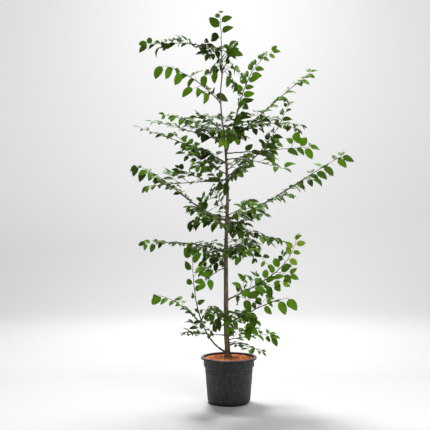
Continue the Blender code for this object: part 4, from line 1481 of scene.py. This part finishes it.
class HORNBEAM_OT_bark(bpy.types.Operator):
    """Makes the trunk and the bare boughs with the relief of their bark"""

    bl_idname = "hornbeam.bark"
    bl_label = "Trunk and boughs"

    def execute(self, context):
        settings = context.scene.hornbeam_bark
        feet = [(grown.stem.points[1], grown.limb.stout) for grown in grown_crown()
                if not grown.limb.carrier and grown.limb.foot < TRUNK_TOP]
        line = trunk_line(TRUNK_FOOT + (TRUNK_TOP - TRUNK_FOOT) * i / TRUNK_STEPS
                          for i in range(TRUNK_STEPS + 1))
        relief = trunk_relief(settings, feet)
        trunk = new_object("trunk_bark", *bark_skin(*line, TRUNK_SIDES, relief, settings.ring_step))
        trunk.data.materials.append(bark_material("trunk_bark", settings.pale, settings.dark, scale=220))
        keep(trunk, ["trunk"])
        points, faces = [], []
        for grown in grown_crown():
            if not grown.limb.bare:
                continue
            stem = grown.stem
            end = round(len(stem.points) * grown.limb.bare) + 1
            skin, skin_faces = bark_skin(stem.points[:end], stem.radii[:end], BOUGH_SIDES, limb_relief,
                                         BOUGH_RING_STEP)
            faces += [tuple(index + len(points) for index in face) for face in skin_faces]
            points += skin
        boughs = new_object("bough_bark", points, faces)
        boughs.data.materials.append(bark_material("bough_bark", settings.pale, settings.dark, scale=320))
        keep(boughs, solids_named("bough_"))
        return {"FINISHED"}


def marked_mesh(name, points, edges, marks):
    """A mesh of points and edges whose points hold these named values."""
    mesh = bpy.data.meshes.new(name)
    mesh.from_pydata(points, edges, [])
    for label, (kind, values) in marks.items():
        field = "vector" if kind == "FLOAT_VECTOR" else "value"
        mesh.attributes.new(label, kind, "POINT").data.foreach_set(field, values)
    return mesh


def skin_tree():
    """Turns lines with a radius at each point into closed round stems."""
    tree, give, result = group_with("Stem skin", (("Sides", "Int"), ("Finish", "Material")))
    line = add_node(tree, "GeometryNodeMeshToCurve", {"Mesh": give["Geometry"]})
    ring = add_node(tree, "GeometryNodeCurvePrimitiveCircle",
                    {"Resolution": give["Sides"], "Radius": 1.0})
    skin = add_node(tree, "GeometryNodeCurveToMesh", {
        "Curve": line.outputs[0], "Profile Curve": ring.outputs[0],
        "Scale": attribute(tree, "stem_radius", "FLOAT"), "Fill Caps": True,
    })
    end_tree(tree, result, skin,
             ("GeometryNodeSetShadeSmooth", {}), ("GeometryNodeRealizeInstances", {}),
             ("GeometryNodeSetMaterial", {"Material": give["Finish"]}))
    return tree


def line_mesh(name, lines):
    """Lines of points and radii as one mesh of edges."""
    points, edges, radii = [], [], []
    for line_points, line_radii in lines:
        start = len(points)
        points += line_points
        radii += line_radii
        edges += [(start + i, start + i + 1) for i in range(len(line_points) - 1)]
    return marked_mesh(name, points, edges, {"stem_radius": ("FLOAT", radii)})


def bud_points(name, limbs):
    """Points that say where each bud sits and the way it points: one in each axil, one at each tip."""
    places, ways = [], []
    for grown in limbs:
        for shoot in (grown.stem, *grown.twigs):
            for point, along, side, share in shoot.nodes:
                if (point - shoot.points[0]).length < FIRST_TWIG_LEAF:
                    continue
                across, _ = spray_axes(along, grown.limb.face)
                leaves_by = 0 if share > AT_TIP else math.radians(BUD_SPREAD) * side
                places.append(point)
                ways.extend((along * math.cos(leaves_by) + across * math.sin(leaves_by)).normalized())
    return marked_mesh(name, places, [], {"bud_way": ("FLOAT_VECTOR", ways)})


def bud_tree():
    """Sets a slender pointed bud at each point."""
    tree, give, result = group_with("Buds", (
        ("Length", "Float"), ("Seed", "Int"), ("Finish", "Material"),
    ))
    half, broad, foot = (math_node(tree, "MULTIPLY", give["Length"], share) for share in BUD_SHARES)
    base, point = (
        add_node(tree, "GeometryNodeMeshCone", {
            "Vertices": BUD_SIDES, "Side Segments": 1, "Depth": half,
            "Radius Top": top, "Radius Bottom": bottom,
        }, fill_type="NONE")
        for top, bottom in ((broad, foot), (0.0, broad))
    )
    up = add_node(tree, "ShaderNodeCombineXYZ", {"Z": half})
    raised = add_node(tree, "GeometryNodeTransform",
                      {"Geometry": point.outputs[0], "Translation": up.outputs[0]})
    both = add_node(tree, "GeometryNodeJoinGeometry")
    for part in (base, raised):
        tree.links.new(part.outputs[0], both.inputs[0])
    whole = add_node(tree, "GeometryNodeMergeByDistance",
                     {"Geometry": both.outputs[0], "Distance": BUD_WELD})
    turn = add_node(tree, "FunctionNodeAlignRotationToVector",
                    {"Vector": attribute(tree, "bud_way", "FLOAT_VECTOR")}, axis="Z")
    buds = add_node(tree, "GeometryNodeInstanceOnPoints", {
        "Points": give["Geometry"], "Instance": whole.outputs[0], "Rotation": turn.outputs[0],
        "Scale": random_between(tree, *BUD_SIZES, give["Seed"]),
    })
    end_tree(tree, result, buds,
             ("GeometryNodeRealizeInstances", {}), ("GeometryNodeSetShadeSmooth", {}),
             ("GeometryNodeSetMaterial", {"Material": give["Finish"]}))
    return tree


class HORNBEAM_OT_twigs(bpy.types.Operator):
    """Grows the leafy stems, twigs, finer twigs and buds of each side of the crown"""

    bl_idname = "hornbeam.twigs"
    bl_label = "Stems and twigs"

    def execute(self, context):
        settings = context.scene.hornbeam_bark
        tree = skin_tree()
        bark = bark_material("twig_bark", settings.twig, shaded(settings.twig, 0.5), scale=500)
        buds = bud_tree()
        scales = plain_material("bud_scales", tuple(settings.bud), 0.6, 0.3)[0]
        for side in CROWN_SIDES:
            limbs = [grown for grown in grown_crown() if side_of(grown.limb) == side]
            stems, twigs = [], []
            for grown in limbs:
                start = round(len(grown.stem.points) * grown.limb.bare)
                stems.append((grown.stem.points[start:], grown.stem.radii[start:]))
                twigs += [(twig.points, twig.radii) for twig in grown.twigs]
            nodes = [f"foliage_{grown.limb.name}" for grown in limbs]
            wood = ((f"stems_{side}", stems, STEM_SIDES), (f"twigs_{side}", twigs, TWIG_SIDES))
            for name, lines, sides in wood:
                made = made_by(tree, name, line_mesh(name, lines), {"Sides": sides, "Finish": bark})
                keep(made, nodes)
            made = made_by(buds, f"buds_{side}", bud_points(f"buds_{side}", limbs), {
                "Length": BUD_LONG, "Seed": FIRST_SEED, "Finish": scales,
            })
            keep(made, nodes)
        return {"FINISHED"}


def half_width(share):
    """Half of a leaf's breadth at this share of its length: egg-shaped, drawn out to its tip."""
    broad = share**LEAF_BASE_ROUND * (1 - share) ** LEAF_TIP_DRAW
    peak = LEAF_BASE_ROUND / (LEAF_BASE_ROUND + LEAF_TIP_DRAW)
    return broad / (peak**LEAF_BASE_ROUND * (1 - peak) ** LEAF_TIP_DRAW) / 2


def leaf_pattern(name, width, veins, fold, bend, twist, lean):
    """One leaf of unit length: two pleated halves, toothed edge, upper and lower skin, on its stalk."""
    thick, pleat, pleat_growth, row_spread = 0.010, 0.034, 5, 0.92
    tooth_out, tooth_in, vein_lead = 1.02, 0.97, 0.55
    stalk_foot_radius, stalk_end_radius, stalk_end = 0.011, 0.008, LEAF_STALK * 1.3
    rows = 2 * veins
    points, faces, lower = [], [], set()

    def place(along, across, height):
        """A point of the blade, bent down along its length and twisted."""
        angle = bend * along
        turn = twist * along
        x = across * math.cos(turn) - height * math.sin(turn)
        h = across * math.sin(turn) + height * math.cos(turn)
        run = LEAF_STALK + math.sin(angle) / bend + h * math.sin(angle)
        drop = (math.cos(angle) - 1) / bend + h * math.cos(angle)
        return Vector((x + lean * along * along, run, drop))

    for i in range(rows + 1):
        share = (i / rows) ** row_spread
        tooth = tooth_in if i % 2 else tooth_out
        half = half_width(share) * width * (tooth if 0 < i < rows else 1)
        root = max(0.0, share - vein_lead * half) if i < rows else 1.0
        lift = fold * half + (pleat if i % 2 else -pleat) * min(1.0, half * pleat_growth)
        points += [place(root, 0, 0), place(root, 0, -thick)]
        points += [place(share, -half, lift), place(share, half, lift)]
    for i in range(rows):
        rib, under, left, right = range(4 * i, 4 * i + 4)
        faces.append((rib, rib + 4, left + 4, left))
        faces.append((rib + 4, rib, right, right + 4))
        lower |= {len(faces), len(faces) + 1}
        faces.append((under + 4, under, left, left + 4))
        faces.append((under, under + 4, right + 4, right))
    foot = len(points)
    stalk = (((0, 0, 0), stalk_foot_radius), ((0, stalk_end, -thick), stalk_end_radius))
    for centre, radius in stalk:
        for k in range(3):
            turn = math.tau * k / 3
            points.append(Vector(centre) + Vector((math.cos(turn), 0, math.sin(turn))) * radius)
    for k in range(3):
        a, b = foot + k, foot + (k + 1) % 3
        faces.append((a, a + 3, b + 3, b))
    faces += [(foot, foot + 1, foot + 2), (foot + 5, foot + 4, foot + 3)]
    mesh = bpy.data.meshes.new(name)
    mesh.from_pydata(points, [], faces)
    is_lower = mesh.attributes.new("underside", "BOOLEAN", "FACE")
    is_lower.data.foreach_set("value", [number in lower for number in range(len(faces))])
    work = bmesh.new()
    work.from_mesh(mesh)
    bmesh.ops.remove_doubles(work, verts=work.verts, dist=LEAF_WELD)
    work.to_mesh(mesh)
    work.free()
    return mesh


LEAF_FORMS = (
    # fold, bend, twist, lean
    (0.30, 0.45, 0.10, 0.02),
    (0.22, 0.80, -0.20, -0.03),
    (0.50, 0.60, 0.24, 0.03),
    (0.16, 1.25, 0.10, 0.00),
    (0.40, 0.95, -0.34, -0.02),
    (0.26, 0.20, 0.16, 0.04),
    (0.34, 0.65, 0.40, 0.03),
)


def leaf_tree():
    """Sets a leaf at each point, pointing and facing as the point says."""
    tree, give, result = group_with("Leaves on their twigs", (
        ("Patterns", "Collection"), ("Variation", "Float"), ("Seed", "Int"),
        ("Upper side", "Material"), ("Underside", "Material"),
    ))
    turn = add_node(tree, "FunctionNodeAxesToRotation", {
        "Primary Axis": attribute(tree, "leaf_way", "FLOAT_VECTOR"),
        "Secondary Axis": attribute(tree, "leaf_face", "FLOAT_VECTOR"),
    }, primary_axis="Y", secondary_axis="Z")
    low, high = (math_node(tree, operation, 1.0, give["Variation"]) for operation in ("SUBTRACT", "ADD"))
    vary = random_between(tree, low, high, give["Seed"])
    leaves = add_node(tree, "GeometryNodeInstanceOnPoints", {
        "Points": give["Geometry"], "Instance": patterns_in(tree, give["Patterns"]), "Pick Instance": True,
        "Instance Index": attribute(tree, "leaf_form", "INT"), "Rotation": turn.outputs[0],
        "Scale": math_node(tree, "MULTIPLY", attribute(tree, "leaf_long", "FLOAT"), vary),
    })
    is_under = attribute(tree, "underside", "BOOLEAN")
    end_tree(tree, result, leaves,
             ("GeometryNodeRealizeInstances", {}), ("GeometryNodeSetShadeSmooth", {}),
             ("GeometryNodeSetMaterial", {"Material": give["Upper side"]}),
             ("GeometryNodeSetMaterial", {"Selection": is_under, "Material": give["Underside"]}))
    return tree


def leaf_points(name, leaves, draw):
    """Points that say how each leaf stands, how long it is and which form it has."""
    return marked_mesh(name, [leaf.root for leaf in leaves], [], {
        "leaf_way": ("FLOAT_VECTOR", [part for leaf in leaves for part in leaf.way]),
        "leaf_face": ("FLOAT_VECTOR", [part for leaf in leaves for part in leaf.face]),
        "leaf_long": ("FLOAT", [leaf.long for leaf in leaves]),
        "leaf_form": ("INT", [draw.randrange(len(LEAF_FORMS)) for _ in leaves]),
    })


def upper_skin(name, colour):
    """A leaf's upper skin, a little glossy. It is one colour, dealt out by spray."""
    return plain_material(name, colour, 0.55, 0.09)[0]


def lower_skin(name, colour):
    """A leaf's underside, duller and paler."""
    paler = tuple(0.80 * part + 0.22 * pale for part, pale in zip(colour, UNDERSIDE_BLOOM))
    return plain_material(name, paler, 0.70, 0.04)[0]


class HORNBEAM_OT_leaves(bpy.types.Operator):
    """Sets the leaves on stems and twigs, one piece for each green"""

    bl_idname = "hornbeam.leaves"
    bl_label = "Leaves"

    def execute(self, context):
        settings = context.scene.hornbeam_leaves
        tree = leaf_tree()
        patterns = pattern_group("leaf_patterns", [
            leaf_pattern(f"leaf_pattern_{number}", settings.width, settings.veins, *form)
            for number, form in enumerate(LEAF_FORMS)
        ])
        draw = random.Random(settings.seed)
        for tint in TINTS:
            leaves = [leaf for grown in grown_crown() for leaf in grown.leaves if leaf.tint == tint]
            colour = tuple(getattr(settings, tint))
            made = made_by(tree, f"leaves_{tint}", leaf_points(f"leaves_{tint}", leaves, draw), {
                "Patterns": patterns, "Variation": settings.vary, "Seed": settings.seed,
                "Upper side": upper_skin(f"leaf_{tint}", colour),
                "Underside": lower_skin(f"leaf_{tint}_underside", colour),
            })
            made.data.set_sharp_from_angle(angle=math.radians(LEAF_SHARP))
            keep(made, solids_named("foliage_"))
        remove_patterns(patterns)
        return {"FINISHED"}


class HORNBEAM_OT_stage(bpy.types.Operator):
    """Sets up the pale floor with its rising backdrop, the soft lights and the camera"""

    bl_idname = "hornbeam.stage"
    bl_label = "Stage"

    def execute(self, context):
        settings = context.scene.hornbeam_stage
        make_backdrop()
        for name, place, target, size, power in LIGHTS:
            add_light(name, place, target, size, getattr(settings, power))
        world = bpy.data.worlds.new("studio")
        world.use_nodes = True
        background = world.node_tree.nodes["Background"]
        background.inputs["Color"].default_value = (1, 1, 1, 1)
        background.inputs["Strength"].default_value = settings.fill
        context.scene.world = world
        context.scene.view_settings.view_transform = "Standard"
        camera = bpy.data.cameras.new("camera")
        camera.sensor_width = SENSOR
        camera.lens = settings.focal_length
        viewer = bpy.data.objects.new("camera", camera)
        viewer.location = CAMERA_PLACE
        viewer.rotation_euler = (math.radians(CAMERA_TILT), 0, 0)
        context.scene.collection.objects.link(viewer)
        context.scene.camera = viewer
        return {"FINISHED"}


def make_backdrop():
    """A floor that rises into a faintly glowing wall behind the plant in one smooth bend. Its paper is
    painted lighter near the front and greyer towards the back, and its glow from the far floor up the wall
    is painted light.
    """
    half, front, back, rise, bend, bend_steps = 9.0, -8.0, 7.0, 8.0, 3.0, 16
    near_grey, near_at, far_grey, far_at, glow_from, glow = 0.62, -0.6, 0.485, 0.6, 1.6, 0.47
    profile = [(front, 0.0), (back - bend, 0.0)]
    profile += arc((back - bend, bend), bend, -90, 0, bend_steps)[1:]
    profile += [(back, rise)]
    points = [(x, y, z) for y, z in profile for x in (-half, half)]
    faces = [(2 * i, 2 * i + 1, 2 * i + 3, 2 * i + 2) for i in range(len(profile) - 1)]
    backdrop = new_object("backdrop", points, faces)
    paper, tree, shader = plain_material("backdrop_paper", (0.55, 0.55, 0.55), 0.9, 0.1)
    depth = place_along(tree, "Y")
    # Painted light and shade: the paper is lighter near the front and greyer further back.
    grey = blend(tree, spread(tree, depth, near_at, far_at), [near_grey] * 3, [far_grey] * 3)
    paint(tree, shader, grey)
    shader.inputs["Emission Color"].default_value = (1, 1, 1, 1)
    # Painted light: from glow_from back, the floor and the wall glow, though they are no lamp.
    tree.links.new(spread(tree, depth, glow_from, back, 0.0, glow), shader.inputs["Emission Strength"])
    backdrop.data.materials.append(paper)


def add_light(name, place, target, size, power):
    """An oblong soft light at a place, turned to its target."""
    data = bpy.data.lights.new(name, "AREA")
    data.shape = "RECTANGLE"
    data.size, data.size_y = size
    data.energy = power
    lamp = bpy.data.objects.new(name, data)
    lamp.location = place
    lamp.rotation_euler = (Vector(target) - Vector(place)).to_track_quat("-Z", "Y").to_euler()
    bpy.context.scene.collection.objects.link(lamp)


class HORNBEAM_PT_panel(bpy.types.Panel):
    """The plant's pieces and their settings"""

    bl_idname = "HORNBEAM_PT_panel"
    bl_label = "Potted hornbeam"
    bl_space_type = "VIEW_3D"
    bl_region_type = "UI"
    bl_category = "Hornbeam"

    def draw(self, context):
        for operator, group in STEPS:
            box = self.layout.box()
            box.operator(operator.bl_idname)
            settings = getattr(context.scene, group)
            for name in settings.bl_rna.properties.keys():
                if name not in ("rna_type", "name"):
                    box.prop(settings, name)


GROUPS = {
    "hornbeam_pot": PotSettings,
    "hornbeam_mix": MixSettings,
    "hornbeam_bark": BarkSettings,
    "hornbeam_leaves": LeafSettings,
    "hornbeam_stage": StageSettings,
}
STEPS = (
    (HORNBEAM_OT_pot, "hornbeam_pot"),
    (HORNBEAM_OT_potting_mix, "hornbeam_mix"),
    (HORNBEAM_OT_bark, "hornbeam_bark"),
    (HORNBEAM_OT_twigs, "hornbeam_bark"),
    (HORNBEAM_OT_leaves, "hornbeam_leaves"),
    (HORNBEAM_OT_stage, "hornbeam_stage"),
)
CLASSES = (*GROUPS.values(), *(operator for operator, _ in STEPS), HORNBEAM_PT_panel)


def register():
    for cls in CLASSES:
        bpy.utils.register_class(cls)
    for name, group in GROUPS.items():
        setattr(bpy.types.Scene, name, bpy.props.PointerProperty(type=group))


def unregister():
    for name in GROUPS:
        delattr(bpy.types.Scene, name)
    for cls in reversed(CLASSES):
        bpy.utils.unregister_class(cls)


def main():
    register()
    bpy.ops.hornbeam.pot()
    bpy.ops.hornbeam.potting_mix()
    bpy.ops.hornbeam.bark()
    bpy.ops.hornbeam.twigs()
    bpy.ops.hornbeam.leaves()
    bpy.ops.hornbeam.stage()


if __name__ == "__main__":
    main()
